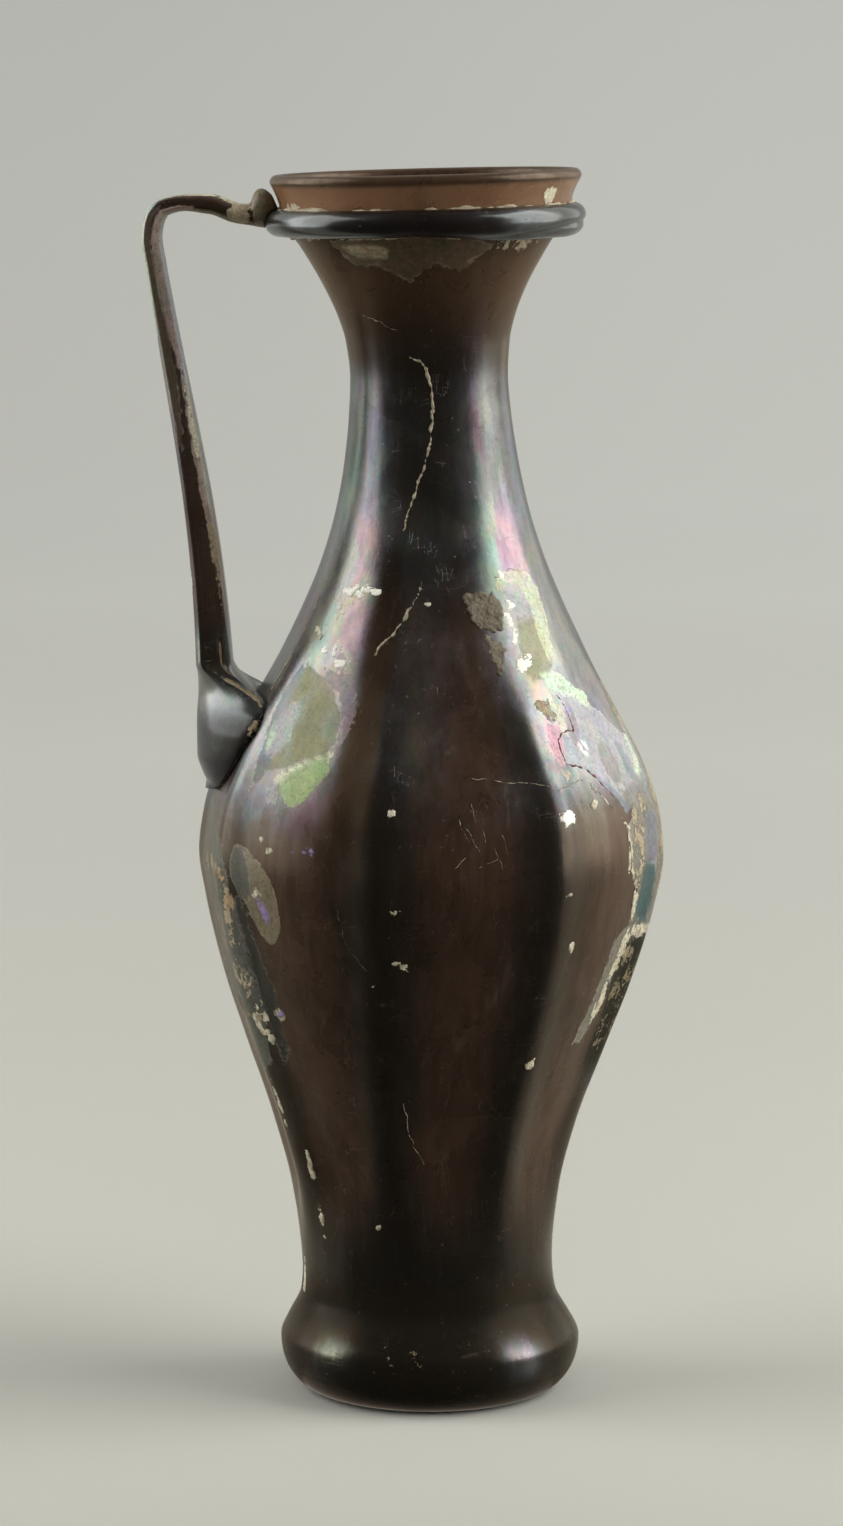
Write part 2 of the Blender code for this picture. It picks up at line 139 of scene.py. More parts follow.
class SmoothCurve:
    """Cubic through stations that never overshoots between two of them."""

    def __init__(self, stations: list[Station]) -> None:
        """Keeps the stations and works out the slope at each.

        Args:
            stations: Place and value of each station, in rising order of place.
        """
        self.places = [place for place, _ in stations]
        self.values = [value for _, value in stations]
        slopes = [(b[1] - a[1]) / (b[0] - a[0]) for a, b in zip(stations, stations[1:])]
        self.tangents = [slopes[0]]
        for before, after in zip(slopes, slopes[1:]):
            self.tangents.append(0.0 if before * after <= 0.0 else 2.0 * before * after / (before + after))
        self.tangents.append(slopes[-1])

    def at(self, place: float) -> float:
        """Value of the curve.

        Args:
            place: Where it is read.

        Returns:
            The value there, held at the ends.
        """
        if place <= self.places[0]:
            return self.values[0]
        if place >= self.places[-1]:
            return self.values[-1]
        k = max(i for i in range(len(self.places) - 1) if self.places[i] <= place)
        span = self.places[k + 1] - self.places[k]
        t = (place - self.places[k]) / span
        start = (1.0 + 2.0 * t) * self.values[k] + t * span * self.tangents[k]
        end = (3.0 - 2.0 * t) * self.values[k + 1] + (t - 1.0) * span * self.tangents[k + 1]
        return (1.0 - t) ** 2 * start + t * t * end


@dataclass
class Outline:
    """Outline of the blown body, in the solids' own sizes, in metres and degrees."""

    foot_z: float = 0.0102
    waist_z: float = 0.0250
    belly_z: float = 0.1068
    neck_z: float = 0.2002
    trail_z: float = 0.2305
    collar_z: float = 0.2347
    lip_z: float = 0.2382
    lip_round: float = 0.0014
    foot_radius: float = 0.0296
    waist_radius: float = 0.0248
    belly_radius: float = 0.0462
    neck_radius: float = 0.0154
    flare_radius: float = 0.0275
    collar_radius: float = 0.0286
    lip_radius: float = 0.0302
    wall: float = 0.0020
    lip_thickness: float = 0.0027
    floor_thickness: float = 0.0040
    kick_height: float = 0.0090
    rest_inner_radius: float = 0.0185
    rest_width: float = 0.0030
    rib_depth: float = 0.0017
    rib_half_width: float = 0.0050
    panel_flattening: float = 0.0006
    rib_foot_rise: float = 0.0020
    rib_foot_fade: float = 0.0230
    rib_top_rise: float = 0.0460
    rib_top_fade: float = 0.0260
    inner_rib_share: float = 0.6
    mouth_slope_x: float = 0.025
    mouth_slope_y: float = 0.017
    lower_body_sway: float = -0.0012
    shoulder_sway: float = 0.0007
    neck_sway: float = -0.0002
    mouth_sway: float = -0.0009
    rib_directions: tuple[float, ...] = (-10.0, 34.0, 78.0, 123.0, 171.0, 208.0, 257.0, 303.0)
    axis: Vector = field(default_factory=Vector)

    def __post_init__(self) -> None:
        """Builds the two curves and finds the foot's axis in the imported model."""
        foot_shares = ((0.06, 0.015), (0.14, 0.11), (0.28, 0.34), (0.65, 0.905))
        lower_shares = ((0.181, 0.084), (0.361, 0.264), (0.538, 0.511), (0.713, 0.750), (0.888, 0.928))
        shoulder_shares = (
            (0.100, 0.036), (0.201, 0.146), (0.311, 0.326), (0.422, 0.516), (0.523, 0.668),
            (0.624, 0.795), (0.725, 0.888), (0.824, 0.948), (0.925, 0.986),
        )
        flare_shares = ((0.228, 0.048), (0.380, 0.146), (0.535, 0.302), (0.686, 0.499), (0.838, 0.727))
        foot = (self.foot_z, self.foot_radius)
        waist = (self.waist_z, self.waist_radius)
        belly = (self.belly_z, self.belly_radius)
        neck = (self.neck_z, self.neck_radius)
        flare = (self.trail_z, self.flare_radius)
        stations = [foot] + between(foot, waist, foot_shares)
        stations += [waist] + between(waist, belly, lower_shares)
        stations += [belly] + between(belly, neck, shoulder_shares)
        stations += [neck] + between(neck, flare, flare_shares)
        stations += [flare, (self.collar_z, self.collar_radius), (self.lip_z, self.lip_radius)]
        self.radius_curve = SmoothCurve(stations)
        lower = self.belly_z - self.waist_z
        upper = self.neck_z - self.belly_z
        mouth = self.trail_z - self.neck_z
        self.sway_curve = SmoothCurve([
            (self.foot_z, 0.0), (self.waist_z + 0.34 * lower, self.lower_body_sway), (self.belly_z, 0.0),
            (self.belly_z + 0.55 * upper, self.shoulder_sway), (self.neck_z, self.neck_sway),
            (self.neck_z + 0.65 * mouth, self.mouth_sway), (self.trail_z, self.mouth_sway),
        ])
        resting = [v.co for v in bpy.data.objects["vessel"].data.vertices if v.co.z < 0.5 * MM]
        self.axis = Vector((
            (min(p.x for p in resting) + max(p.x for p in resting)) / 2.0,
            (min(p.y for p in resting) + max(p.y for p in resting)) / 2.0,
            0.0,
        ))

    def outer_radius(self, height: float) -> float:
        """Radius of the rib crests at a height."""
        return self.radius_curve.at(height)

    def inner_radius(self, height: float) -> float:
        """Radius of the inner side of the wall, measured square to the outer side."""
        step = 0.5 * MM
        slope = (self.outer_radius(height + step) - self.outer_radius(height - step)) / (2.0 * step)
        return self.outer_radius(height) - self.wall * math.sqrt(1.0 + slope * slope)

    def rib_strength(self, height: float) -> float:
        """How much of the ribs' depth shows at a height, from 0 to 1."""
        low = self.waist_z + self.rib_foot_rise
        high = self.belly_z + self.rib_top_rise
        rising = fade(low, low + self.rib_foot_fade, height)
        return rising * (1.0 - fade(high - self.rib_top_fade, high, height))

    def panel_place(self, angle: float) -> tuple[int, float, float]:
        """Finds the panel between two ribs that a direction lies in.

        Args:
            angle: Direction in radians, from +X towards +Y.

        Returns:
            The panel's number, the share of its width and its width in degrees.
        """
        first = self.rib_directions[0]
        degrees = (math.degrees(angle) - first) % 360.0 + first
        crests = self.rib_directions + (first + 360.0,)
        panel = max(i for i in range(len(self.rib_directions)) if crests[i] <= degrees)
        width = crests[panel + 1] - crests[panel]
        return panel, (degrees - crests[panel]) / width, width

    def rib_inset(self, height: float, angle: float) -> float:
        """How far the surface lies inside the rib crests, at a height and an angle in radians."""
        strength = self.rib_strength(height)
        if strength == 0.0:
            return 0.0
        _, share, width = self.panel_place(angle)
        across = math.radians(min(share, 1.0 - share) * width) * self.outer_radius(height)
        valley = 1.0 - math.exp(-((across / self.rib_half_width) ** 2))
        middle = math.sin(math.pi * share) ** 2
        return strength * (self.rib_depth * valley + self.panel_flattening * middle)

    def settle(self, point: Vector) -> Vector:
        """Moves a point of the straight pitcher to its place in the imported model.

        Args:
            point: A point about the body's own straight axis.

        Returns:
            The point on the swayed body with its sloping mouth.
        """
        share = fade(self.neck_z, self.trail_z, point.z)
        lift = share * (self.mouth_slope_x * point.x + self.mouth_slope_y * point.y)
        return Vector((point.x + self.sway_curve.at(point.z), point.y, point.z + lift)) + self.axis

    def unsettle(self, point: Vector) -> Vector:
        """The reverse of settle, close enough for clearances."""
        x, y, z = point - self.axis
        share = fade(self.neck_z, self.trail_z, z)
        z -= share * (self.mouth_slope_x * x + self.mouth_slope_y * y)
        return Vector((x - self.sway_curve.at(z), y, z))

    def skin(self, azimuth: float, height: float, lift: float = 0.0) -> Vector:
        """A point on the glass.

        Args:
            azimuth: Direction in degrees, 0 towards the camera's side and rising towards +X.
            height: Height on the straight body.
            lift: How far the point stands off the glass.

        Returns:
            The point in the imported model.
        """
        angle = math.radians(azimuth - 90.0)
        radius = self.outer_radius(height) - self.rib_inset(height, angle) + lift
        return self.settle(polar(radius, angle, height))


class Cover(Enum):
    """What lies on the glass in one place."""

    CRUST = "crust"
    FILM = "film"
    HUE = "hue"


class Tint(Enum):
    """Colours of the weathering, as linear red, green and blue."""

    WHITE = (0.86, 0.85, 0.76)
    CREAM = (0.66, 0.62, 0.46)
    BEIGE = (0.44, 0.38, 0.27)
    SAND = (0.30, 0.24, 0.15)
    ORANGE = (0.36, 0.22, 0.11)
    EARTH = (0.16, 0.135, 0.085)
    OLIVE = (0.150, 0.140, 0.060)
    LIME = (0.26, 0.34, 0.105)
    MINT = (0.42, 0.56, 0.36)
    STRAW = (0.42, 0.43, 0.25)
    PEARL = (0.28, 0.26, 0.235)
    PINK = (0.42, 0.24, 0.25)
    DUST = (0.34, 0.25, 0.22)
    UMBER = (0.085, 0.060, 0.036)
    LILAC = (0.27, 0.265, 0.28)
    MAUVE = (0.20, 0.14, 0.16)
    VIOLET = (0.24, 0.18, 0.42)
    SLATE = (0.075, 0.08, 0.07)
    ASH = (0.17, 0.16, 0.135)
    STEEL = (0.13, 0.14, 0.18)
    INK = (0.012, 0.014, 0.010)
    TEAL = (0.030, 0.080, 0.088)
    RUST = (0.12, 0.022, 0.016)
    MAGENTA_GLOSS = (1.00, 0.60, 0.76)
    GREEN_GLOSS = (0.72, 1.00, 0.80)
    LILAC_GLOSS = (0.90, 0.76, 0.98)
    STRAW_GLOSS = (1.00, 0.96, 0.70)
    GREY_GLOSS = (0.92, 0.91, 0.86)
    OLIVE_GLOSS = (0.66, 0.62, 0.40)
    LIME_GLOSS = (0.90, 1.00, 0.66)


@dataclass(frozen=True)
class Patch:
    """One weathered place on the glass.

    Azimuth is in degrees from the camera's side towards +X, the sizes are half extents in
    millimetres along the surface, and tilt turns the patch clockwise as seen from outside.  The
    radius in millimetres is that of the piece, or 0 for the body's own.
    """

    cover: Cover
    tint: Tint
    azimuth: float
    height: float
    half_width: float
    half_height: float
    tilt: float = 0.0
    fill: float = 1.0
    radius: float = 0.0

    def strength(self, outline: Outline, azimuth: float, height: float) -> float:
        """How strongly the patch covers a place.

        Args:
            outline: Outline of the body that the patch lies on.
            azimuth: Direction of the place in degrees.
            height: Height of the place in metres.

        Returns:
            From 0 outside the patch to its fill at its middle.
        """
        up = height / MM - self.height
        reach = 1.6 * max(self.half_width, self.half_height)
        if abs(up) > reach:
            return 0.0
        turn = (azimuth - self.azimuth + 180.0) % 360.0 - 180.0
        across = math.radians(turn) * (self.radius or outline.outer_radius(self.height * MM) / MM)
        if abs(across) > reach:
            return 0.0
        c, s = math.cos(math.radians(self.tilt)), math.sin(math.radians(self.tilt))
        u = (across * c - up * s) / self.half_width
        v = (across * s + up * c) / self.half_height
        return self.fill * (1.0 - fade(0.45, 1.45, math.hypot(u, v)))


class Region:
    """A closed outline on the body, measured along the glass in millimetres."""

    def __init__(self, points: tuple[Station, ...], outline: Outline) -> None:
        """Lays the outline flat.

        Args:
            points: Azimuth in degrees and height in millimetres of each corner.
            outline: Outline of the body.
        """
        self.outline = outline
        self.middle = sum(azimuth for azimuth, _ in points) / len(points)
        self.low = min(height for _, height in points)
        self.high = max(height for _, height in points)
        corners = [self.flat(azimuth, height) for azimuth, height in points]
        self.sides = list(zip(corners, corners[1:] + corners[:1]))
        self.left = min(u for u, _ in corners)
        self.right = max(u for u, _ in corners)

    def flat(self, azimuth: float, height: float) -> Station:
        """Distance along the glass from the outline's middle, and the height, both in millimetres."""
        turn = (azimuth - self.middle + 180.0) % 360.0 - 180.0
        return math.radians(turn) * self.outline.outer_radius(height * MM) / MM, height

    def depth(self, azimuth: float, height: float, margin: float) -> float:
        """How far inside the outline a place lies.

        Args:
            azimuth: Direction of the place in degrees.
            height: Height of the place in millimetres.
            margin: Distance outside the outline from which nearness no longer matters.

        Returns:
            The distance to the outline in millimetres, negative outside.
        """
        if not self.low - margin < height < self.high + margin:
            return -margin
        u, v = self.flat(azimuth, height)
        if not self.left - margin < u < self.right + margin:
            return -margin
        inside = False
        nearest = math.inf
        for (au, av), (bu, bv) in self.sides:
            along = ((u - au) * (bu - au) + (v - av) * (bv - av)) / ((bu - au) ** 2 + (bv - av) ** 2)
            along = min(max(along, 0.0), 1.0)
            nearest = min(nearest, math.hypot(au + along * (bu - au) - u, av + along * (bv - av) - v))
            if (av > v) != (bv > v) and u < au + (v - av) / (bv - av) * (bu - au):
                inside = not inside
        return nearest if inside else -nearest


@dataclass
class Film:
    """One weathered place with its own outline, of azimuth in degrees and height in millimetres."""

    cover: Cover
    tint: Tint
    points: tuple[Station, ...]
    fill: float = 1.0
    softness: float = 4.0
    region: Region | None = None

    def strength(self, outline: Outline, azimuth: float, height: float) -> float:
        """How strongly the film covers a place; the arguments are those of Patch.strength."""
        if self.region is None:
            self.region = Region(self.points, outline)
        depth = self.region.depth(azimuth, height / MM, self.softness / 2.0)
        return self.fill * min(max(0.5 + depth / self.softness, 0.0), 1.0)


class NodeWriter:
    """Adds shader nodes to one material and joins them."""

    def __init__(self, name: str) -> None:
        """Makes an empty node material.

        Args:
            name: Name of the material.
        """
        self.material = bpy.data.materials.new(name)
        self.material.use_nodes = True
        self.tree = self.material.node_tree
        self.tree.nodes.clear()
        self.output = self.tree.nodes.new("ShaderNodeOutputMaterial")
        self.place = self.add("ShaderNodeTexCoord").outputs["Object"]

    def add(self, kind: str, settings: dict | None = None, sockets: dict | None = None) -> bpy.types.Node:
        """Adds one node.

        Args:
            kind: The node's type name.
            settings: Properties of the node.
            sockets: Values or sockets for its inputs, by name or number.

        Returns:
            The new node.
        """
        node = self.tree.nodes.new(kind)
        for key, value in (settings or {}).items():
            setattr(node, key, value)
        for key, value in (sockets or {}).items():
            if isinstance(value, Socket):
                self.tree.links.new(value, node.inputs[key])
            else:
                node.inputs[key].default_value = value
        return node

    def math(self, operation: str, *values: object) -> Socket:
        """Adds a Math node.

        Args:
            operation: The node's operation.
            values: Its values or sockets.

        Returns:
            The node's output.
        """
        return self.add("ShaderNodeMath", {"operation": operation}, dict(enumerate(values))).outputs[0]

    def times(self, first: object, second: object) -> Socket:
        """Product of two values."""
        return self.math("MULTIPLY", first, second)

    def minus(self, first: object, second: object) -> Socket:
        """Difference of two values."""
        return self.math("SUBTRACT", first, second)

    def scaled(self, value: object, factor: object, offset: object) -> Socket:
        """A value times a factor, plus an offset."""
        return self.math("MULTIPLY_ADD", value, factor, offset)

    def set(self, socket: Socket, value: object) -> None:
        """Gives an input a value or a link."""
        if isinstance(value, Socket):
            self.tree.links.new(value, socket)
        else:
            socket.default_value = value

    def step(self, value: object, low: float, high: float, bottom: float = 0.0,
             top: float = 1.0) -> Socket:
        """Adds a smooth step.

        Args:
            value: Socket that is read.
            low: Value where the step starts.
            high: Value where it ends.
            bottom: Result below low.
            top: Result above high.

        Returns:
            The stepped value.
        """
        node = self.add(
            "ShaderNodeMapRange", {"interpolation_type": "SMOOTHSTEP", "clamp": True},
            {"Value": value, "From Min": low, "From Max": high, "To Min": bottom, "To Max": top},
        )
        return node.outputs["Result"]

    def mix(self, share: object, first: object, second: object, blend: str = "MIX") -> Socket:
        """Mixes two colours.

        Args:
            share: Share of the second colour.
            first: First colour or socket.
            second: Second colour or socket.
            blend: Blending mode.

        Returns:
            The mixed colour.
        """
        node = self.add("ShaderNodeMix", {"data_type": "RGBA", "blend_type": blend})
        self.set(node.inputs[0], share)
        for socket, value in ((node.inputs[6], first), (node.inputs[7], second)):
            self.set(socket, (*value, 1.0) if isinstance(value, tuple) else value)
        return node.outputs[2]

    def stretched(self, scale: Colour, turn: Colour = (0.0, 0.0, 0.0)) -> Socket:
        """Object coordinates with their own scale along each axis.

        Args:
            scale: Scale along X, Y and Z.
            turn: Rotation in radians, made before the scale.

        Returns:
            The stretched coordinates.
        """
        node = self.add("ShaderNodeMapping", {"vector_type": "POINT"}, {
            "Vector": self.place, "Rotation": turn, "Scale": scale})
        return node.outputs[0]

    def noise(self, scale: float, detail: float = 3.0, roughness: float = 0.5, distortion: float = 0.0,
              place: Socket | None = None) -> Socket:
        """Adds a noise texture.

        Args:
            scale: Features per metre.
            detail: Number of finer octaves.
            roughness: Weight of the finer octaves.
            distortion: How much the noise is bent.
            place: Coordinates, or None for Object coordinates.

        Returns:
            The noise, from 0 to 1.
        """
        node = self.add("ShaderNodeTexNoise", None, {
            "Vector": place or self.place, "Scale": scale, "Detail": detail,
            "Roughness": roughness, "Distortion": distortion,
        })
        return node.outputs["Fac"]

    def cells(self, scale: float, feature: str = "F1", output: str = "Distance") -> Socket:
        """Adds a Voronoi texture.

        Args:
            scale: Cells per metre.
            feature: Which feature is read.
            output: Which output is taken.

        Returns:
            The chosen output.
        """
        node = self.add("ShaderNodeTexVoronoi", {"feature": feature}, {"Vector": self.place, "Scale": scale})
        return node.outputs[output]

    def ramp(self, value: Socket, stops: tuple[tuple[float, Colour], ...]) -> Socket:
        """Adds a colour ramp.

        Args:
            value: Socket that is read.
            stops: Position and colour of each stop, in rising order.

        Returns:
            The ramp's colour.
        """
        node = self.add("ShaderNodeValToRGB", None, {"Fac": value})
        elements = node.color_ramp.elements
        while len(elements) < len(stops):
            elements.new(1.0)
        for element, (position, colour) in zip(elements, stops):
            element.position = position
            element.color = (*colour, 1.0)
        return node.outputs["Color"]

    def grey(self, value: Socket) -> Socket:
        """A grey of a value's brightness."""
        return self.add("ShaderNodeCombineColor", None, {0: value, 1: value, 2: value}).outputs[0]

    def attribute(self, name: str, output: str = "Fac") -> Socket:
        """Reads a vertex attribute of the mesh."""
        return self.add("ShaderNodeAttribute", {"attribute_name": name}).outputs[output]

    def bump(self, relief: Socket, depth: float) -> Socket:
        """Turns a relief into normals, 1 being as high as the depth in millimetres."""
        sockets = {"Strength": 1.0, "Distance": depth * MM, "Height": relief}
        return self.add("ShaderNodeBump", None, sockets).outputs[0]

    def surface(self, sockets: dict) -> bpy.types.Material:
        """Ends the material with a Principled shader.

        Args:
            sockets: The shader's values or sockets, by name.

        Returns:
            The finished material.
        """
        shader = self.add("ShaderNodeBsdfPrincipled", None, sockets)
        self.tree.links.new(shader.outputs[0], self.output.inputs["Surface"])
        return self.material


@dataclass(frozen=True)
class GlassFinish:
    """Dark weathered glass with a painted glow of light coming through it, an iridescent skin, films and
    crust, led by the mesh's attributes.
    """

    name: str
    deep: Colour = (0.0108, 0.0094, 0.0072)
    # Brown painted into the colour as the glow of light coming through the glass.
    glow: Colour = (0.047, 0.026, 0.0170)
    # Amber painted into the colour where more light comes through, at the collar; the shader also lets light
    # through there.
    clear_glow_colour: Colour = (0.325, 0.172, 0.092)
    smear: Colour = (0.125, 0.105, 0.085)
    pearl: Colour = (0.44, 0.41, 0.38)
    roughness: float = 0.25
    film_roughness: float = 0.14
    transmission: float = 0.12
    clear_transmission: float = 0.40
    sheen_low: float = 64.0
    sheen_high: float = 90.0
    plain_index: float = 0.40
    sheen_index: float = 0.50
    plain_hue: Colour = (1.0, 0.84, 0.68)
    hues: tuple[tuple[float, Colour], ...] = (
        (0.34, (0.80, 1.00, 0.88)), (0.42, (0.98, 1.00, 0.84)), (0.46, (1.00, 0.76, 0.86)),
        (0.50, (0.94, 0.92, 0.90)), (0.54, (0.90, 0.80, 1.00)), (0.58, (0.76, 1.00, 0.90)),
        (0.66, (1.00, 0.82, 0.84)),
    )
    plain_specular: float = 0.34
    specular: float = 0.50
    pitting: float = 0.35
    streaking: float = 1.0

    def make(self) -> bpy.types.Material:
        """Builds the material."""
        return GlassWriter(self).write()


class GlassWriter(NodeWriter):
    """The nodes of one weathered glass."""

    def __init__(self, finish: GlassFinish) -> None:
        """Adds the fields and noises that several parts of the material read.

        Args:
            finish: The glass.
        """
        super().__init__(finish.name)
        self.finish = finish
        self.grain = self.attribute("grain", "Vector")
        self.glow, self.clear, self.gloss = (self.attribute(name) for name in ("glow", "clear", "gloss"))
        self.coarse = self.noise(240.0, 4.0, 0.6)
        self.fine = self.noise(1100.0, 6.0, 0.65)
        self.streaks = self.noise(420.0, 5.0, 0.6, place=self.grain)
        self.mottled = self.noise(75.0, 4.0, 0.6, 0.6)
        self.crust = self.crust_share()
        self.bare = self.minus(1.0, self.crust)
        self.film, self.edge = self.film_shares()
        self.scratch = self.scratches()
        # Pale smears along the grain, laid only where the painted glow of light through the glass is.
        smears = self.noise(260.0, 6.0, 0.7, 0.8, self.grain)
        self.smear = self.times(self.step(smears, 0.54, 0.80, 0.0, 0.40 * finish.streaking), self.glow)

    def crust_share(self) -> Socket:
        """The painted crust, broken by noise into crisp islands."""
        runs = self.noise(700.0, 4.0, 0.6, place=self.grain)
        broken = self.scaled(self.coarse, 0.45, self.times(self.fine, 0.35))
        broken = self.minus(self.scaled(runs, 0.20, broken), 0.5)
        return self.step(self.scaled(broken, 2.6, self.attribute("crust")), 0.47, 0.53)

    def film_shares(self) -> tuple[Socket, Socket]:
        """The painted film with an uneven outline, and the pale line along its edges.

        Returns:
            The film's share and its edge's share.
        """
        bent = self.scaled(self.noise(260.0, 6.0, 0.65, 0.5), 0.5, self.times(self.fine, 0.5))
        field = self.scaled(self.minus(bent, 0.5), 1.25, self.attribute("film"))
        edge = self.minus(self.step(field, 0.40, 0.44), self.step(field, 0.49, 0.56))
        fringe = self.scaled(self.minus(self.fine, 0.5), 1.2, self.attribute("film_fringe"))
        edge = self.math("MAXIMUM", edge, self.step(fringe, 0.50, 0.75))
        edge = self.times(edge, self.step(self.coarse, 0.42, 0.52, 0.15, 1.0))
        return self.step(field, 0.43, 0.53), edge

    def scratches(self) -> Socket:
        """Share of fine scratches in two directions, and of pale specks."""
        first = self.noise(1.0, 1.0, 0.4, 0.3, self.stretched((90.0, 90.0, 620.0), (0.5, 0.9, 0.0)))
        second = self.noise(1.0, 1.0, 0.4, 0.2, self.stretched((700.0, 700.0, 60.0), (0.3, -0.25, 0.4)))
        distances = [self.math("ABSOLUTE", self.minus(value, 0.5)) for value in (first, second)]
        lines = self.step(self.math("MINIMUM", *distances), 0.0, 0.006, 1.0, 0.0)
        scratch = self.times(lines, self.step(self.coarse, 0.55, 0.64))
        specks = self.step(self.cells(330.0), 0.05, 0.10, 1.0, 0.0)
        return self.math("MAXIMUM", scratch, self.times(specks, self.step(self.fine, 0.42, 0.50)))

    def glass_colour(self) -> Socket:
        """The bare glass: dark, with a painted brown glow of light coming through it and painted amber where
        the collar lets light through, streaked along the grain, smeared and scratched.
        """
        finish = self.finish
        share = self.times(self.glow, self.step(self.streaks, 0.25, 0.75, 0.60, 1.30))
        share = self.times(share, self.step(self.mottled, 0.3, 0.7, 0.70, 1.20))
        body = self.mix(self.math("MINIMUM", share, 1.0), finish.deep, finish.glow)
        body = self.mix(self.smear, body, finish.smear)
        shade = self.grey(self.step(self.mottled, 0.30, 0.70, 0.72, 1.08))
        body = self.mix(self.clear, body, self.mix(1.0, finish.clear_glow_colour, shade, "MULTIPLY"))
        return self.mix(self.times(self.scratch, 0.38), body, finish.smear)

    def film_colour(self) -> Socket:
        """The painted colour of the film, clouded, mottled and worn."""
        cloud = self.step(self.noise(310.0, 5.0, 0.65, 1.2), 0.35, 0.65)
        tint = self.mix(cloud, (0.84, 0.98, 0.84), (1.14, 1.00, 1.02))
        colour = self.mix(1.0, self.attribute("film_colour", "Color"), tint, "MULTIPLY")
        shade = self.step(self.noise(800.0, 5.0, 0.6), 0.34, 0.66, 0.84, 1.10)
        colour = self.mix(1.0, colour, self.grey(shade), "MULTIPLY")
        worn = self.step(self.noise(520.0, 5.0, 0.65), 0.54, 0.70, 0.0, 0.55)
        return self.mix(worn, colour, self.finish.smear)

    def crust_colour(self) -> Socket:
        """The painted colour of the crust, sandy in places and grimy."""
        sandy = self.step(self.coarse, 0.44, 0.70, 0.0, 0.7)
        colour = self.mix(sandy, self.attribute("crust_colour", "Color"), Tint.SAND.value)
        grime = self.step(self.noise(1700.0, 5.0, 0.7), 0.28, 0.72, 0.50, 1.2)
        return self.mix(1.0, colour, self.grey(grime), "MULTIPLY")

    def colour(self) -> Socket:
        """The glass with its films, their pale edges and the crust on it."""
        film = self.film_colour()
        opaque = self.step(self.noise(1500.0, 4.0, 0.65), 0.34, 0.50, 0.40, 0.86)
        body = self.mix(self.times(self.film, opaque), self.glass_colour(), film)
        rim = self.mix(0.22, self.mix(1.0, film, (1.9, 1.9, 1.9), "MULTIPLY"), self.finish.pearl)
        body = self.mix(self.times(self.edge, 0.48), body, rim)
        return self.mix(self.crust, body, self.crust_colour())

    def roughness(self) -> Socket:
        """Rougher under the film, on smears and on the crust."""
        finish = self.finish
        rough = self.step(self.mottled, 0.3, 0.75, finish.roughness, finish.roughness + 0.08)
        rough = self.scaled(self.film, finish.film_roughness, rough)
        rough = self.scaled(self.smear, 0.4, rough)
        return self.scaled(self.crust, 0.85, self.times(rough, self.bare))

    def skin(self) -> dict:
        """The iridescent skin: its gloss, its hue and its film of changing thickness.

        Returns:
            The shader's sockets for it, by name.
        """
        finish = self.finish
        thickness = self.noise(110.0, 5.0, 0.6, 0.6)
        sheen = self.scaled(self.minus(self.mottled, 0.5), 0.7, self.attribute("sheen"))
        sheen = self.step(sheen, 0.05, 1.0)
        index = self.times(self.times(self.bare, sheen), self.scaled(self.film, -0.55, 1.0))
        index = self.scaled(index, finish.sheen_index, finish.plain_index)
        index = self.times(index, self.step(self.streaks, 0.30, 0.72, 0.86, 1.06))
        index = self.scaled(index, self.scaled(self.gloss, 0.88, 0.12), 1.0)
        bands = self.noise(170.0, 6.0, 0.62, 0.7, self.stretched((1.0, 1.0, 0.38)))
        bands = self.scaled(self.minus(self.streaks, 0.5), 0.45, bands)
        hue = self.mix(self.step(sheen, 0.0, 0.35), finish.plain_hue, self.ramp(bands, finish.hues))
        hue = self.mix(self.clear, hue, Tint.GREY_GLOSS.value)
        patch = self.times(self.attribute("hue"), self.step(bands, 0.38, 0.56, 0.35, 1.0))
        shine = self.step(sheen, 0.0, 0.5, finish.plain_specular, finish.specular)
        shine = self.times(self.times(shine, self.gloss), self.step(self.fine, 0.30, 0.60, 0.80, 1.1))
        through = self.step(self.clear, 0.0, 1.0, finish.transmission, finish.clear_transmission)
        through = self.times(through, self.bare)
        return {
            "Specular IOR Level": self.times(shine, self.scaled(self.film, -0.45, 1.0)),
            "Specular Tint": self.mix(patch, hue, self.attribute("hue_colour", "Color")),
            "Thin Film Thickness": self.step(thickness, 0.30, 0.72, finish.sheen_low, finish.sheen_high),
            "Thin Film IOR": index,
            "Transmission Weight": self.times(through, self.scaled(self.film, -0.95, 1.0)),
        }

    def relief(self) -> Socket:
        """Height in millimetres of crust, pits, scratches, film and waves along the grain."""
        grains = self.times(self.noise(2600.0, 4.0, 0.7), self.scaled(self.crust, 0.10, 0.005))
        height = self.scaled(self.crust, 0.16, grains)
        pits = self.step(self.cells(900.0), 0.0, 0.25, -0.06, 0.0)
        pits = self.times(pits, self.step(self.coarse, 0.5, 0.66))
        height = self.scaled(pits, self.finish.pitting, height)
        height = self.scaled(self.scratch, -0.02, height)
        height = self.scaled(self.film, 0.020, height)
        return self.scaled(self.noise(620.0, 4.0, 0.65, 0.3, self.grain), 0.012, height)

    def write(self) -> bpy.types.Material:
        """Writes the whole material.

        Returns:
            The finished material.
        """
        return self.surface({
            "Base Color": self.colour(), "Roughness": self.roughness(), "IOR": 1.5,
            "Normal": self.bump(self.relief(), 1.0), **self.skin(),
        })


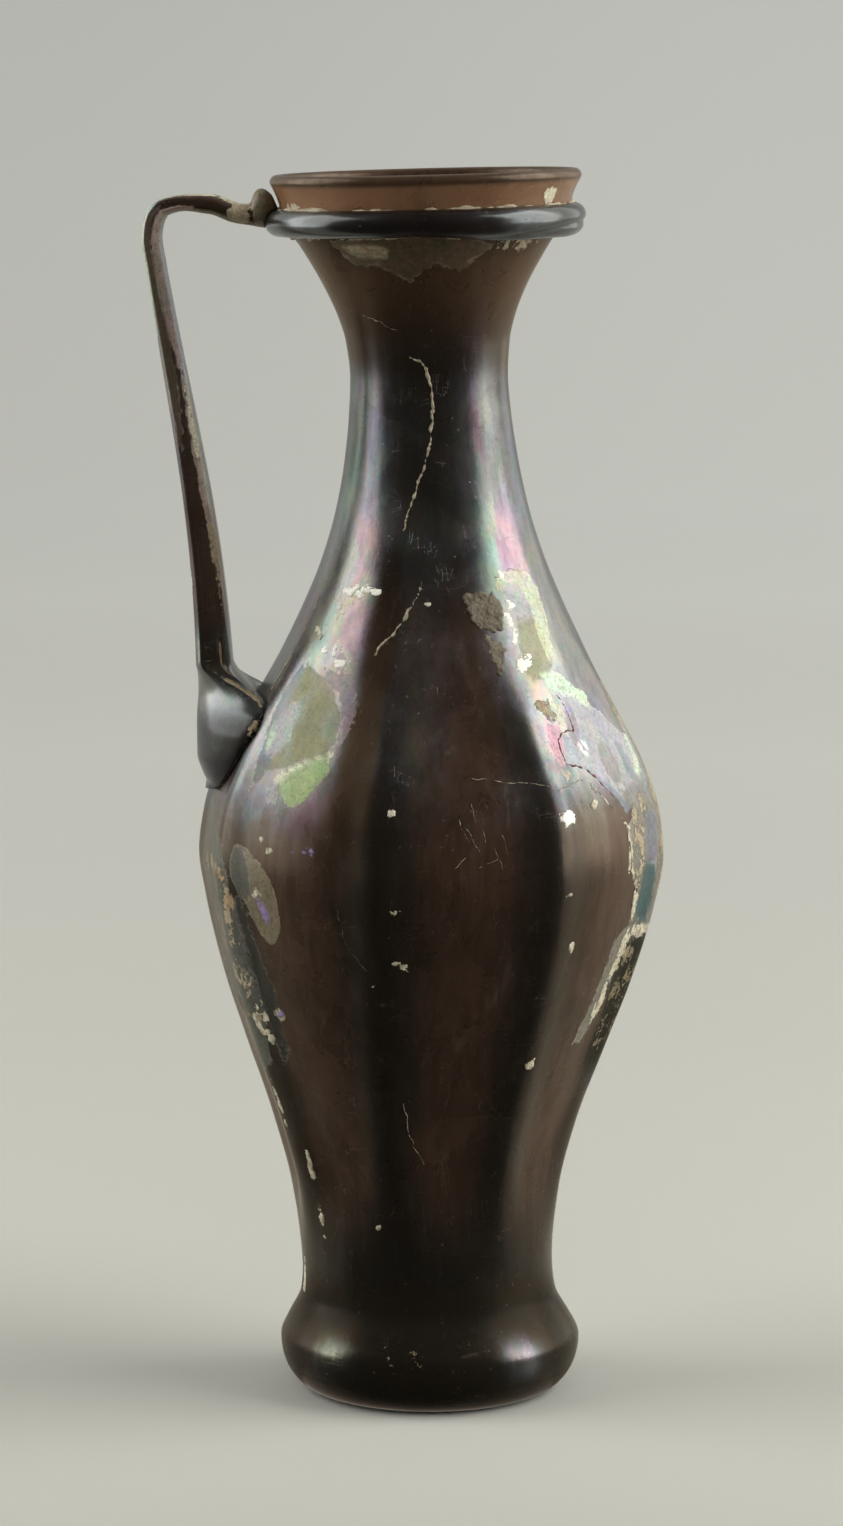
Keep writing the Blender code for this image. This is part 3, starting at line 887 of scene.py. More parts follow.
@dataclass(frozen=True)
class CrustFinish:
    """Dry mineral crust, of one colour with darker grains."""

    name: str
    tint: Tint
    shade: Tint = Tint.SAND
    darkest: float = 0.55
    grain_depth: float = 0.12

    def make(self) -> bpy.types.Material:
        """Builds the material.

        Returns:
            The finished material.
        """
        w = NodeWriter(self.name)
        patches = w.step(w.noise(600.0, 5.0, 0.6), 0.40, 0.68)
        colour = w.mix(patches, self.tint.value, self.shade.value)
        grain = w.step(w.noise(2400.0, 5.0, 0.7), 0.30, 0.70, self.darkest, 1.15)
        colour = w.mix(1.0, colour, w.grey(grain), "MULTIPLY")
        rough = w.step(patches, 0.0, 1.0, 0.70, 0.92)
        bump = w.bump(w.noise(2600.0, 5.0, 0.7), self.grain_depth)
        return w.surface({"Base Color": colour, "Roughness": rough, "Normal": bump})


@dataclass(frozen=True)
class PaperFinish:
    """Plain pale paper, which glows a little away from the object so that the backdrop stays even."""

    name: str
    colour: Colour = (0.465, 0.466, 0.424)
    far: float = 2.50
    rise: tuple[Station, ...] = (
        (0.04, 0.0), (0.10, 0.06), (0.16, 0.13), (0.26, 0.32), (0.40, 0.62), (0.68, 0.93), (0.96, 1.0),
    )
    light_low: Colour = (0.352, 0.353, 0.330)
    light_high: Colour = (0.272, 0.280, 0.283)
    side_reach: float = 0.37
    side_change: float = 0.075
    edge_start: float = -0.03
    edge_end: float = -0.40
    edge_shade: float = 0.15

    def make(self) -> bpy.types.Material:
        """Builds the material.

        Returns:
            The finished material.
        """
        w = NodeWriter(self.name)
        split = w.add("ShaderNodeSeparateXYZ", None, {0: w.place})
        x, y, z = (split.outputs[axis] for axis in "XYZ")
        reach = w.math("SQRT", w.math("ADD", w.math("POWER", x, 2.0), w.math("POWER", y, 2.0)))
        side = w.step(x, -self.side_reach, self.side_reach, 1.0 - self.side_change, 1.0 + self.side_change)
        stops = tuple((place, (light,) * 3) for place, light in self.rise)
        rise = w.ramp(w.math("DIVIDE", reach, self.far), stops)
        away = w.times(rise, side)
        glow = w.mix(w.step(z, 0.0, 1.0), self.light_low, self.light_high)
        shade = w.step(y, self.edge_end, self.edge_start, self.edge_shade, 1.0)
        colour = w.mix(1.0, self.colour, w.grey(shade), "MULTIPLY")
        return w.surface({
            "Base Color": colour, "Roughness": 0.9, "Specular IOR Level": 0.1,
            "Emission Color": glow, "Emission Strength": w.times(away, w.step(y, -0.6, 0.0)),
        })


def finish_piece(name: str, work: bmesh.types.BMesh, material: bpy.types.Material) -> bpy.types.Object:
    """Makes a smooth object of a finished mesh.

    Args:
        name: Name of the piece.
        work: The mesh, which is freed.
        material: The piece's material.

    Returns:
        The linked object.
    """
    mesh = bpy.data.meshes.new(name)
    work.to_mesh(mesh)
    work.free()
    mesh.materials.append(material)
    mesh.shade_smooth()
    piece = bpy.data.objects.new(name, mesh)
    bpy.context.scene.collection.objects.link(piece)
    return piece


def turned(profile: list[Station], columns: int, closed: bool) -> bmesh.types.BMesh:
    """Turns a profile about Z.

    Args:
        profile: Radius and height of each point.
        columns: How many columns of faces the full turn has.
        closed: Whether the profile's last point joins its first.

    Returns:
        The turned mesh, merged where it closes.
    """
    work = bmesh.new()
    points = [work.verts.new((r, 0.0, z)) for r, z in profile]
    edges = [work.edges.new(pair) for pair in zip(points, points[1:])]
    if closed:
        edges.append(work.edges.new((points[-1], points[0])))
    bmesh.ops.spin(work, geom=points + edges, cent=(0, 0, 0), axis=(0, 0, 1), angle=math.tau,
                   steps=columns, use_merge=True, use_duplicate=False)
    bmesh.ops.remove_doubles(work, verts=work.verts, dist=0.002 * MM)
    return work


@dataclass(frozen=True)
class Traits:
    """What the glass is like at one point.

    The place is the azimuth in degrees and the height in metres at which patches are looked up.
    """

    place: Station
    # Share of the brown painted glow of light coming through the glass.
    glow: float
    sheen: float = 0.0
    # Share of light coming through, which is also painted into the colour as amber.
    clear: float = 0.0
    grain: Vector = field(default_factory=Vector)
    bare: bool = False
    gloss: float = 1.0


class Painter:
    """Writes the weathering fields that the glass finish reads onto a mesh."""

    fringe_middle = 0.45
    fringe_reach = 0.24
    takeover: Station = (0.30, 0.60)

    def __init__(self, patches: list[Patch | Film], outline: Outline) -> None:
        """Keeps the patches.

        Args:
            patches: The weathered places.
            outline: Outline of the body that they lie on.
        """
        self.patches = patches
        self.outline = outline

    def blend(self, cover: Cover, place: Station) -> tuple[float, Colour, float]:
        """Lays the patches of one kind over one another at a place, in their order.

        Args:
            cover: Kind of patch.
            place: Azimuth in degrees and height in metres.

        Returns:
            The strongest patch's strength, the colour on top, and how near the place is to an edge
            of one patch on another.
        """
        strongest, fringe = 0.0, 0.0
        colour = (0.0, 0.0, 0.0)
        for patch in self.patches:
            if patch.cover is not cover:
                continue
            strength = patch.strength(self.outline, *place)
            if strength <= 0.0:
                continue
            share = fade(*self.takeover, strength) if strongest > self.takeover[0] else 1.0
            colour = tuple(c + share * (part - c) for c, part in zip(colour, patch.tint.value))
            near = 0.0
            if strongest > self.takeover[1]:
                near = max(1.0 - abs(strength - self.fringe_middle) / self.fringe_reach, 0.0)
            fringe = max(fringe * (1.0 - share), near)
            strongest = max(strongest, strength)
        return strongest, colour, fringe

    def paint(self, piece: bpy.types.Object, traits: list[Traits]) -> None:
        """Writes the fields of every point of a piece.

        Args:
            piece: The piece.
            traits: What the glass is like at each of its points.
        """
        for name in ("glow", "sheen", "clear", "gloss"):
            self.write(piece, name, "FLOAT", "value", [getattr(trait, name) for trait in traits])
        grain = [part for trait in traits for part in trait.grain]
        self.write(piece, "grain", "FLOAT_VECTOR", "vector", grain)
        for cover in Cover:
            blends = [(0.0, (0.0, 0.0, 0.0), 0.0) if t.bare else self.blend(cover, t.place) for t in traits]
            colours = [part for _, colour, _ in blends for part in (*colour, 1.0)]
            self.write(piece, cover.value, "FLOAT", "value", [strength for strength, _, _ in blends])
            self.write(piece, cover.value + "_colour", "FLOAT_COLOR", "color", colours)
            self.write(piece, cover.value + "_fringe", "FLOAT", "value", [fringe for _, _, fringe in blends])

    def write(self, piece: bpy.types.Object, name: str, kind: str, key: str, values: list[float]) -> None:
        """Writes one field of every point of a piece.

        Args:
            piece: The piece.
            name: Name of the attribute.
            kind: Its type.
            key: The property that holds its values.
            values: The values, one point after the other.
        """
        piece.data.attributes.new(name, kind, "POINT").data.foreach_set(key, values)


@dataclass
class BlownBody:
    """The hollow ribbed body, from its foot to its lip.

    Pairs of numbers are where a change starts and ends, or the middle and half width of a bell, in
    degrees from the camera's side or in metres of height.
    """

    outline: Outline
    panel_columns: tuple[int, ...] = (24, 24, 24, 24, 30, 50, 42, 50)
    outer_rows: tuple[int, ...] = (12, 9, 34, 112, 66, 20)
    inner_rows: tuple[int, ...] = (26, 30, 12)
    lip_steps: int = 8
    base_steps: int = 14
    bowl_steps: int = 8
    wave_depth: float = 0.00010
    waves_around: float = 2.2
    waves_up: float = 34.0
    wave_start: Station = (0.004, 0.014)
    sheen_rise: Station = (0.104, 0.140)
    sheen_rise_right: Station = (0.111, 0.134)
    right_side: tuple[Station, Station] = ((22.0, 42.0), (85.0, 100.0))
    spot_azimuth: float = 38.5
    spot_half: Station = (12.0, 0.0052)
    spot_z: float = 0.0105
    rough_azimuths: tuple[Station, Station] = ((62.0, 70.0), (96.0, 104.0))
    rough_heights: tuple[Station, Station] = ((0.062, 0.070), (0.090, 0.093))
    crest_azimuth: Station = (-21.0, 7.0)
    crest_heights: tuple[Station, Station] = ((0.104, 0.120), (0.158, 0.176))
    front_azimuth: Station = (14.0, 13.0)
    front_heights: tuple[Station, Station] = ((0.116, 0.130), (0.158, 0.174))
    neck_heights: tuple[Station, Station] = ((0.206, 0.220), (0.228, 0.232))
    waist_shadow: Station = (0.0190, 0.0050)
    panel_fade: Station = (0.06, 0.42)
    shoulder_fade: Station = (0.150, 0.168)
    neck_sheen_fade: Station = (0.162, 0.186)
    sheen_fall: Station = (0.194, 0.209)
    base_fade: Station = (0.002, 0.009)
    base_gloss: Station = (0.003, 0.009)
    foot_dullness: Station = (0.018, 0.028)
    flare_glow: tuple[Station, Station] = ((0.202, 0.220), (0.222, 0.229))
    lip_fade: Station = (1.2 * MM, 0.2 * MM)

    def profile(self) -> list[Station]:
        """Inner side upwards, the lip, the outer side downwards and the underside.

        Returns:
            Radius and height of each point.
        """
        o = self.outline
        lip_half = o.lip_thickness / 2.0
        outside = []
        for step in range(self.lip_steps + 1):
            turn = math.pi * step / self.lip_steps
            across = o.lip_radius - lip_half * (1.0 + math.cos(turn))
            outside.append((across, o.lip_z + o.lip_round * math.sin(turn)))
        levels = (o.lip_z, o.collar_z, o.trail_z, o.neck_z, o.belly_z, o.waist_z, o.foot_z)
        for start, end, count in zip(levels, levels[1:], self.outer_rows):
            outside += [(o.outer_radius(z), z) for z in rows(start, end, count)]
        rest_outer = o.rest_inner_radius + o.rest_width
        for step in range(1, self.base_steps + 1):
            turn = 0.5 * math.pi * step / self.base_steps
            across = (o.foot_radius - rest_outer) * math.cos(turn)
            outside.append((rest_outer + across, o.foot_z * (1.0 - math.sin(turn))))
        underside = []
        for share in (1.0, 0.93, 0.82, 0.66, 0.50, 0.33, 0.17, 0.0):
            underside.append((o.rest_inner_radius * share, o.kick_height * (1.0 - share * share)))
        inside = []
        floor_z = o.kick_height + o.floor_thickness
        for step in range(self.bowl_steps):
            turn = 0.5 * math.pi * step / self.bowl_steps
            bowl = o.waist_z - (o.waist_z - floor_z) * math.cos(turn)
            inside.append((o.inner_radius(o.waist_z) * math.sin(turn), bowl))
        inside.append((o.inner_radius(o.waist_z), o.waist_z))
        levels = (o.waist_z, o.belly_z, o.neck_z, o.trail_z)
        for start, end, count in zip(levels, levels[1:], self.inner_rows):
            inside += [(o.inner_radius(z), z) for z in rows(start, end, count)]
        inside.append((o.inner_radius(o.collar_z), o.collar_z))
        return inside + outside + underside

    def directions(self) -> list[float]:
        """Direction of each column in radians, closer together on the panels that the photograph shows."""
        crests = self.outline.rib_directions + (self.outline.rib_directions[0] + 360.0,)
        made = []
        for start, end, count in zip(crests, crests[1:], self.panel_columns):
            made += [math.radians(start + (end - start) * step / count) for step in range(count)]
        return made

    def place(self, point: Vector, directions: list[float]) -> Vector:
        """Moves a point of the turned shape onto the ribbed, slightly uneven body.

        Args:
            point: The point on the turned shape.
            directions: Direction of each column.

        Returns:
            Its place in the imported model.
        """
        o = self.outline
        radius = math.hypot(point.x, point.y)
        if radius > o.wall / 2.0:
            column = round(math.atan2(point.y, point.x) / math.tau * len(directions)) % len(directions)
            angle = directions[column]
            outside = radius > o.outer_radius(point.z) - o.wall / 2.0
            radius -= o.rib_inset(point.z, angle) * (1.0 if outside else o.inner_rib_share)
            wave = noise.fractal(polar(self.waves_around, angle, point.z * self.waves_up), 1.0, 2.0, 3)
            radius -= self.wave_depth * max(0.5 + 0.5 * wave, 0.0) * fade(*self.wave_start, point.z)
            point = polar(radius, angle, point.z)
        return o.settle(point)

    def traits(self, point: Vector) -> Traits:
        """Works out what the glass is like at a point of the body.

        Args:
            point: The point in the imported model.

        Returns:
            The traits there.
        """
        o = self.outline
        straight = o.unsettle(point)
        angle = math.atan2(straight.y, straight.x)
        azimuth = (math.degrees(angle) + 270.0) % 360.0 - 180.0
        z = straight.z
        spot = bell(self.spot_azimuth, self.spot_half[0], abs(azimuth + 1.0))
        spot *= bell(self.spot_z, self.spot_half[1], z)
        dull = bell(*self.crest_azimuth, azimuth) * hill(*self.crest_heights, z)
        dull = max(dull, 0.6 * bell(*self.front_azimuth, azimuth) * hill(*self.front_heights, z))
        skin = o.outer_radius(z) - o.rib_inset(z, angle)
        inside = math.hypot(straight.x, straight.y) < skin - o.wall / 2.0
        grain = Vector((straight.x, straight.y, 0.06 * z))
        sheen = max(self.sheen(azimuth, z), spot) * (1.0 - dull)
        gloss = self.gloss(azimuth, z, spot, dull)
        return Traits((azimuth, z), self.glow(angle, z), sheen, self.clearness(z), grain, inside, gloss)

    def glow(self, angle: float, z: float) -> float:
        """Painted glow of light coming through the glass: brown between the ribs, above the belly and below
        the trail, fading along the ribs and towards the base.

        Args:
            angle: Direction in radians, from +X towards +Y.
            z: Height.

        Returns:
            From 0, dark, to 1, brown.
        """
        o = self.outline
        _, share, _ = o.panel_place(angle)
        middle = fade(*self.panel_fade, min(share, 1.0 - share))
        ribbed = o.rib_strength(z)
        plain = 0.06 + 0.50 * (1.0 - fade(*self.shoulder_fade, z)) if z > o.belly_z else 0.03
        plain += 0.30 * fade(o.neck_z, o.trail_z, z)
        return (ribbed * (0.08 + 0.92 * middle) + (1.0 - ribbed) * plain) * fade(*self.base_fade, z)

    def sheen(self, azimuth: float, z: float) -> float:
        """How iridescent the glass is above its belly, from 0 to 1."""
        right = hill(*self.right_side, azimuth)
        low, high = (a + (b - a) * right for a, b in zip(self.sheen_rise, self.sheen_rise_right))
        weaker = 0.45 * fade(*self.neck_sheen_fade, z)
        return fade(low, high, z) * (1.0 - weaker) * (1.0 - fade(*self.sheen_fall, z))

    def gloss(self, azimuth: float, z: float, spot: float, dull: float) -> float:
        """How glossy the glass is.

        Args:
            azimuth: Direction in degrees.
            z: Height.
            spot: Strength of the two glossy spots on the foot.
            dull: Strength of the dull bands on the ribs.

        Returns:
            From 0, dull, to 1, glossy.
        """
        gloss = (1.0 - 0.80 * dull) * (1.0 - 0.35 * hill(*self.neck_heights, z))
        gloss *= 1.0 - 0.60 * (1.0 - fade(*self.foot_dullness, z)) * (1.0 - spot)
        gloss *= 1.0 - 0.70 * hill(*self.rough_azimuths, azimuth) * hill(*self.rough_heights, z)
        gloss *= 1.0 - 0.80 * bell(*self.waist_shadow, z)
        return gloss * (0.20 + 0.80 * fade(*self.base_gloss, z))

    def clearness(self, z: float) -> float:
        """How much light comes through, both let through by the shader and painted into the colour as amber:
        at the collar but less at the lip, and a little below the trail.
        """
        o = self.outline
        lip = fade(o.lip_z - self.lip_fade[0], o.lip_z - self.lip_fade[1], z)
        collar = fade(o.trail_z + 0.5 * MM, o.collar_z - MM, z) * (1.0 - 0.9 * lip)
        return max(collar, 0.13 * hill(*self.flare_glow, z))

    def build(self, patches: list[Patch | Film], finish: GlassFinish) -> bpy.types.Object:
        """Builds and dresses the body.

        Args:
            patches: The weathered places.
            finish: The glass.

        Returns:
            The finished piece.
        """
        directions = self.directions()
        work = turned(self.profile(), len(directions), False)
        for vertex in work.verts:
            vertex.co = self.place(vertex.co, directions)
        bmesh.ops.remove_doubles(work, verts=work.verts, dist=0.002 * MM)
        bmesh.ops.recalc_face_normals(work, faces=work.faces)
        piece = finish_piece("ribbed_body", work, finish.make())
        Painter(patches, self.outline).paint(piece, [self.traits(v.co) for v in piece.data.vertices])
        dress(piece, "vessel")
        return piece


def dress(piece: bpy.types.Object, node: str = "") -> None:
    """Hands a piece to the frame.

    Args:
        piece: The finished piece.
        node: The solid that it replaces, if any.
    """
    if node:
        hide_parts(node)
    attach(piece, BODY)
    LOG.info("%s: %d faces", piece.name, len(piece.data.polygons))


@dataclass
class WoundTrail:
    """The thick trail under the lip, with the end of its second turn lapping under it."""

    outline: Outline
    stand_out: float = 0.0036
    height: float = 0.0054
    tail_drop: float = 0.0011
    tail: tuple[Station, Station] = ((-5.0, 35.0), (80.0, 125.0))
    tail_slide: Station = (5.0, 75.0)
    columns: int = 288
    sides: int = 44
    sink: float = 0.0003
    groove_depth: float = 0.00045
    groove_width: float = 11.0
    groove_start: float = -82.0
    groove_end: float = -18.0
    waver: float = 0.00016

    def section_point(self, turn: float, azimuth: float) -> Station:
        """A point of the trail's section.

        Args:
            turn: Place round the section in degrees, 0 outwards and 90 up.
            azimuth: Direction of the section in degrees.

        Returns:
            Radius and height on the straight body.
        """
        o = self.outline
        half = self.height / 2.0
        outer = o.flare_radius + self.stand_out
        tail = hill(*self.tail, azimuth)
        slide = fade(*self.tail_slide, azimuth)
        groove = self.groove_start + (self.groove_end - self.groove_start) * slide
        dip = tail * bell(groove, self.groove_width, turn)
        wave = noise.noise(polar(4.0, math.radians(azimuth), math.sin(math.radians(turn))))
        reach = half - self.groove_depth * dip - self.waver * (0.5 + 0.5 * wave)
        radius = outer - half + reach * math.cos(math.radians(turn))
        z = o.trail_z + reach * math.sin(math.radians(turn))
        if z < o.trail_z:
            z -= self.tail_drop * tail * (o.trail_z - z) / half
        return max(radius, o.outer_radius(z) - self.sink), z

    def build(self, patches: list[Patch | Film], finish: GlassFinish) -> bpy.types.Object:
        """Builds and dresses the trail.

        Args:
            patches: The weathered places.
            finish: The glass.

        Returns:
            The finished piece.
        """
        o = self.outline
        centre = o.flare_radius + self.stand_out - self.height / 2.0
        work = turned(circle(centre, self.height / 2.0, self.sides), self.columns, True)
        traits = []
        for vertex in work.verts:
            azimuth = math.degrees(math.atan2(vertex.co.y, vertex.co.x)) + 90.0
            azimuth = (azimuth + 180.0) % 360.0 - 180.0
            turn = math.degrees(math.atan2(vertex.co.z, math.hypot(vertex.co.x, vertex.co.y) - centre))
            radius, z = self.section_point(turn, azimuth)
            angle = math.radians(azimuth - 90.0)
            straight = polar(radius, angle, z)
            vertex.co = o.settle(straight)
            grain = Vector((0.12 * straight.x, 0.12 * straight.y, z + radius))
            # Painted glow of light coming through the trail, stronger on its lower outer side.
            glow = 0.25 + 0.5 * fade(0.0, -70.0, turn) if abs(turn) < 90.0 else 0.3
            traits.append(Traits((azimuth, z), glow, 0.48, 0.0, grain))
        bmesh.ops.recalc_face_normals(work, faces=work.faces)
        piece = finish_piece("wound_trail", work, finish.make())
        Painter(patches, o).paint(piece, traits)
        dress(piece, "rim_trail")
        return piece


@dataclass
class DrawnHandle:
    """The handle: knob, arm, bend, flat strap and the pad pressed onto the shoulder.

    Stations hold the reach from the axis, the height, the thickness and the width.
    """

    outline: Outline
    knob_height: float = 0.0077
    knob_width: float = 0.0084
    knob_rise: float = 0.0028
    arm_reach: float = 0.0219
    arm_rise: float = 0.0023
    arm_thickness: float = 0.0040
    arm_width: float = 0.0080
    bend_drop: float = 0.0078
    bend_thickness: float = 0.0044
    strap_width: float = 0.0110
    strap_top_thickness: float = 0.0042
    strap_foot_thickness: float = 0.0080
    strap_foot_width: float = 0.0150
    strap_foot_rise: float = 0.0020
    strap_bow: float = -0.0016
    edge_groove: float = 0.14
    face_hollow: float = 0.16
    pad_rise: float = 0.0325
    pad_length: float = 0.0202
    pad_width: float = 0.0350
    pad_stand_off: float = 0.0119
    pad_edge: float = 0.0016
    trail_outer: float = 0.0311
    trail_half: float = 0.0027
    sides: int = 56
    spacing: float = 0.00045
    pad_rings: int = 46
    fillet_share: float = 0.13
    fillet_strap: float = 0.0035
    flute_depth: float = 0.00012
    flutes_around: float = 3.2
    flutes_along: float = 30.0
    flat_start: Station = (0.010, 0.024)
    groove_reach: float = 0.35
    hollow_reach: float = 0.45
    pad_sink: float = 0.0003
    pad_crown: Station = (1.6, 0.85)
    pad_gap: float = 0.0020
    crust_rise: float = 0.00030
    knob_span: float = 12.0
    pad_start: Station = (0.103, 0.109)
    sheen_rise: Station = (0.014, 0.028)
    sheen_fall: Station = (0.060, 0.085)
    gloss_fall: Station = (0.118, 0.124)

    def clear(self, point: Vector) -> Vector:
        """Pushes a point of the handle out of the body and the trail, level with where it is.

        Args:
            point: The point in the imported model.

        Returns:
            The point, no deeper than the glass that it is fused to.
        """
        o = self.outline
        straight = o.unsettle(point)
        radius = math.hypot(straight.x, straight.y)
        angle = math.atan2(straight.y, straight.x)
        wanted = o.outer_radius(straight.z) - o.rib_inset(straight.z, angle)
        t = (straight.z - o.trail_z) / self.trail_half
        if abs(t) < 1.0:
            trail = self.trail_outer - self.trail_half * (1.0 - math.sqrt(1.0 - t * t))
            wanted = max(wanted, trail)
        if straight.z > o.lip_z + o.lip_round or radius >= wanted:
            return point
        push = wanted - radius
        return point + polar(push, angle, 0.0)

    def stations(self) -> list[tuple[float, ...]]:
        """Stations of the knob, arm, bend and strap."""
        o = self.outline
        knob = (
            (-0.27, 0.14, 0.45, 0.50), (-0.20, 0.10, 0.74, 0.78), (-0.07, 0.04, 0.97, 0.97),
            (0.05, 0.0, 1.0, 1.0), (0.20, -0.05, 0.86, 0.97),
        )
        arm = (
            (0.123, -0.52, 1.10, 0.95), (0.23, -0.43, 1.0, 1.0), (0.48, 0.35, 1.0, 1.0),
            (0.70, 0.48, 0.85, 1.0),
        )
        bent = ((0.88, 0.25, 0.864, 0.764), (0.973, 0.55, 1.0, 0.85), (1.0, 1.0, 1.0, 0.9))
        face = self.trail_outer - o.mouth_sway
        level = o.trail_z - o.mouth_slope_x * face + self.knob_rise
        bend = face + self.arm_reach
        crest = level + self.arm_rise
        corner = crest - self.bend_drop
        pad_top = o.belly_z + self.pad_rise
        drop = corner - (pad_top + self.strap_foot_rise)
        foot = o.outer_radius(pad_top) + self.pad_stand_off - self.strap_foot_thickness / 2.0
        made = []
        for out, up, thick, wide in knob:
            place = (face + out * self.knob_height, level + up * self.knob_height)
            made.append(place + (thick * self.knob_height, wide * self.knob_width))
        for out, up, thick, wide in arm:
            place = (face + out * self.arm_reach, level + up * self.arm_rise)
            made.append(place + (thick * self.arm_thickness, wide * self.arm_width))
        for out, down, thick, wide in bent:
            place = (face + out * self.arm_reach, crest - down * self.bend_drop)
            made.append(place + (thick * self.bend_thickness, wide * self.strap_width))
        for share in (0.06, 0.14, 0.28, 0.44, 0.60, 0.75, 0.88, 1.0):
            bow = self.strap_bow * math.sin(math.pi * share ** 1.5)
            thickness = self.strap_top_thickness
            thickness += (self.strap_foot_thickness - self.strap_top_thickness) * share ** 1.3
            width = self.strap_width + (self.strap_foot_width - self.strap_width) * share ** 3.0
            made.append((bend + (foot - bend) * share + bow, corner - drop * share, thickness, width))
        return made

    def path(self) -> list[tuple[float, ...]]:
        """Stations at an even spacing, each with its distance along the handle first."""
        made = self.stations()
        lengths = [0.0]
        for a, b in zip(made, made[1:]):
            lengths.append(lengths[-1] + math.hypot(b[0] - a[0], b[1] - a[1]))
        curves = [SmoothCurve([(s, station[part]) for s, station in zip(lengths, made)]) for part in range(4)]
        count = round(lengths[-1] / self.spacing)
        places = [lengths[-1] * k / count for k in range(count + 1)]
        return [(s, *(curve.at(s) for curve in curves)) for s in places]

    def strap_ring(self, station: tuple[float, ...], before: tuple[float, ...],
                   after: tuple[float, ...]) -> list[Vector]:
        """Points round one section of the arm or strap, square to its centre line.

        Args:
            station: Distance along, reach, height, thickness and width of the section.
            before: The section before it.
            after: The section after it.

        Returns:
            The points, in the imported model.
        """
        s, reach, height, thickness, width = station
        along = (after[1] - before[1], after[2] - before[2])
        length = math.hypot(*along)
        normal = (-along[1] / length, along[0] / length)
        points = []
        for side in range(self.sides):
            turn = math.tau * side / self.sides
            c, n = math.cos(turn), math.sin(turn)
            flat = fade(*self.flat_start, s)
            groove = 1.0 - flat * self.edge_groove * bell(0.0, self.groove_reach, n)
            hollow = 1.0 - (flat * self.face_hollow * bell(0.0, self.hollow_reach, c) if n > 0.0 else 0.0)
            across = width / 2.0 * math.copysign(abs(c) ** (1.0 - 0.2 * flat), c) * groove
            through = thickness / 2.0 * math.copysign(abs(n) ** (1.0 - 0.3 * flat), n) * hollow
            flute = noise.noise(polar(self.flutes_around, turn, s * self.flutes_along))
            shrink = 1.0 - self.flute_depth * (0.5 + 0.5 * flute) * 2.0 / thickness
            across *= shrink
            through *= shrink
            point = Vector((-(reach + normal[0] * through), across, height + normal[1] * through))
            points.append(self.clear(point + self.outline.axis))
        return points

    def pad_ring(self, share: float, half_width: float, stand_off: float) -> list[Vector]:
        """Points round one level section of the pad, its back lying on the shoulder.

        Args:
            share: Share of the pad's length.
            half_width: Half its width there.
            stand_off: How far its crown stands off the glass.

        Returns:
            The points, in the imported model.
        """
        o = self.outline
        height = o.belly_z + self.pad_rise - self.pad_length * share
        surface = o.outer_radius(height)
        points = []
        for side in range(self.sides):
            turn = math.tau * side / self.sides
            c, n = math.cos(turn), math.sin(turn)
            angle = math.pi - half_width * c / surface
            lift = -self.pad_sink
            if n >= 0.0:
                lift += self.pad_edge / 2.0 * (1.0 + n)
            if n > 0.0:
                lift += (stand_off - self.pad_edge) * (1.0 - abs(c) ** self.pad_crown[0]) ** self.pad_crown[1]
            bridged = max(n, 0.0) * min(stand_off / (3.0 * self.pad_edge), 1.0)
            radius = surface - o.rib_inset(height, angle) * (1.0 - bridged) + lift
            points.append(o.settle(polar(radius, angle, height)))
        return points

    def rings(self) -> list[Ring]:
        """All sections of the handle, each with its distance along the handle in metres."""
        o = self.outline
        made = self.path()
        rings = []
        for k, station in enumerate(made):
            span = 1 + round(self.knob_span * (1.0 - fade(0.005, 0.012, station[0])))
            ring = self.strap_ring(station, made[max(k - span, 0)], made[min(k + span, len(made) - 1)])
            rings.append((station[0], ring))
        pad = (
            (0.0, 0.50, 1.00), (0.03, 0.62, 1.00), (0.10, 0.80, 1.01), (0.21, 0.94, 1.03),
            (0.35, 1.00, 1.04),
            (0.51, 0.92, 1.04), (0.67, 0.77, 1.03), (0.80, 0.61, 0.93), (0.90, 0.41, 0.70),
            (0.97, 0.18, 0.30),
        )
        widths = SmoothCurve([(share, wide) for share, wide, _ in pad])
        stands = SmoothCurve([(share, stand) for share, _, stand in pad])
        top = o.belly_z + self.pad_rise
        pads = []
        for k in range(self.pad_rings + 1):
            share = self.fillet_share + (pad[-1][0] - self.fillet_share) * k / self.pad_rings
            fall = self.pad_stand_off + o.outer_radius(top) - o.outer_radius(top - self.pad_length * share)
            ring = self.pad_ring(share, widths.at(share) * self.pad_width / 2.0,
                                 max(fall * stands.at(share), self.pad_edge))
            pads.append((made[-1][0] + self.pad_gap + self.pad_length * share, ring))
        rings = rings[:len(rings) - round(self.fillet_strap / self.spacing)]
        return rings + self.fillet(rings, pads) + pads

    def fillet(self, straps: list[Ring], pads: list[Ring]) -> list[Ring]:
        """Sections that lead smoothly from the strap into the pad.

        Args:
            straps: The strap's sections.
            pads: The pad's sections.

        Returns:
            The sections between them.
        """
        made = []
        start, end = straps[-1][0], pads[0][0]
        gap = end - start
        pull_start = gap / (straps[-1][0] - straps[-3][0])
        pull_end = gap / (pads[2][0] - pads[0][0])
        count = max(round(gap / self.spacing), 4)
        for k in range(1, count):
            t = k / count
            ring = []
            for a0, a, b, b1 in zip(straps[-3][1], straps[-1][1], pads[0][1], pads[2][1]):
                point = a * (1.0 + 2.0 * t) * (1.0 - t) ** 2 + (a - a0) * pull_start * t * (1.0 - t) ** 2
                point += b * t * t * (3.0 - 2.0 * t) + (b1 - b) * pull_end * t * t * (t - 1.0)
                ring.append(self.clear(point))
            made.append((start + gap * t, ring))
        return made

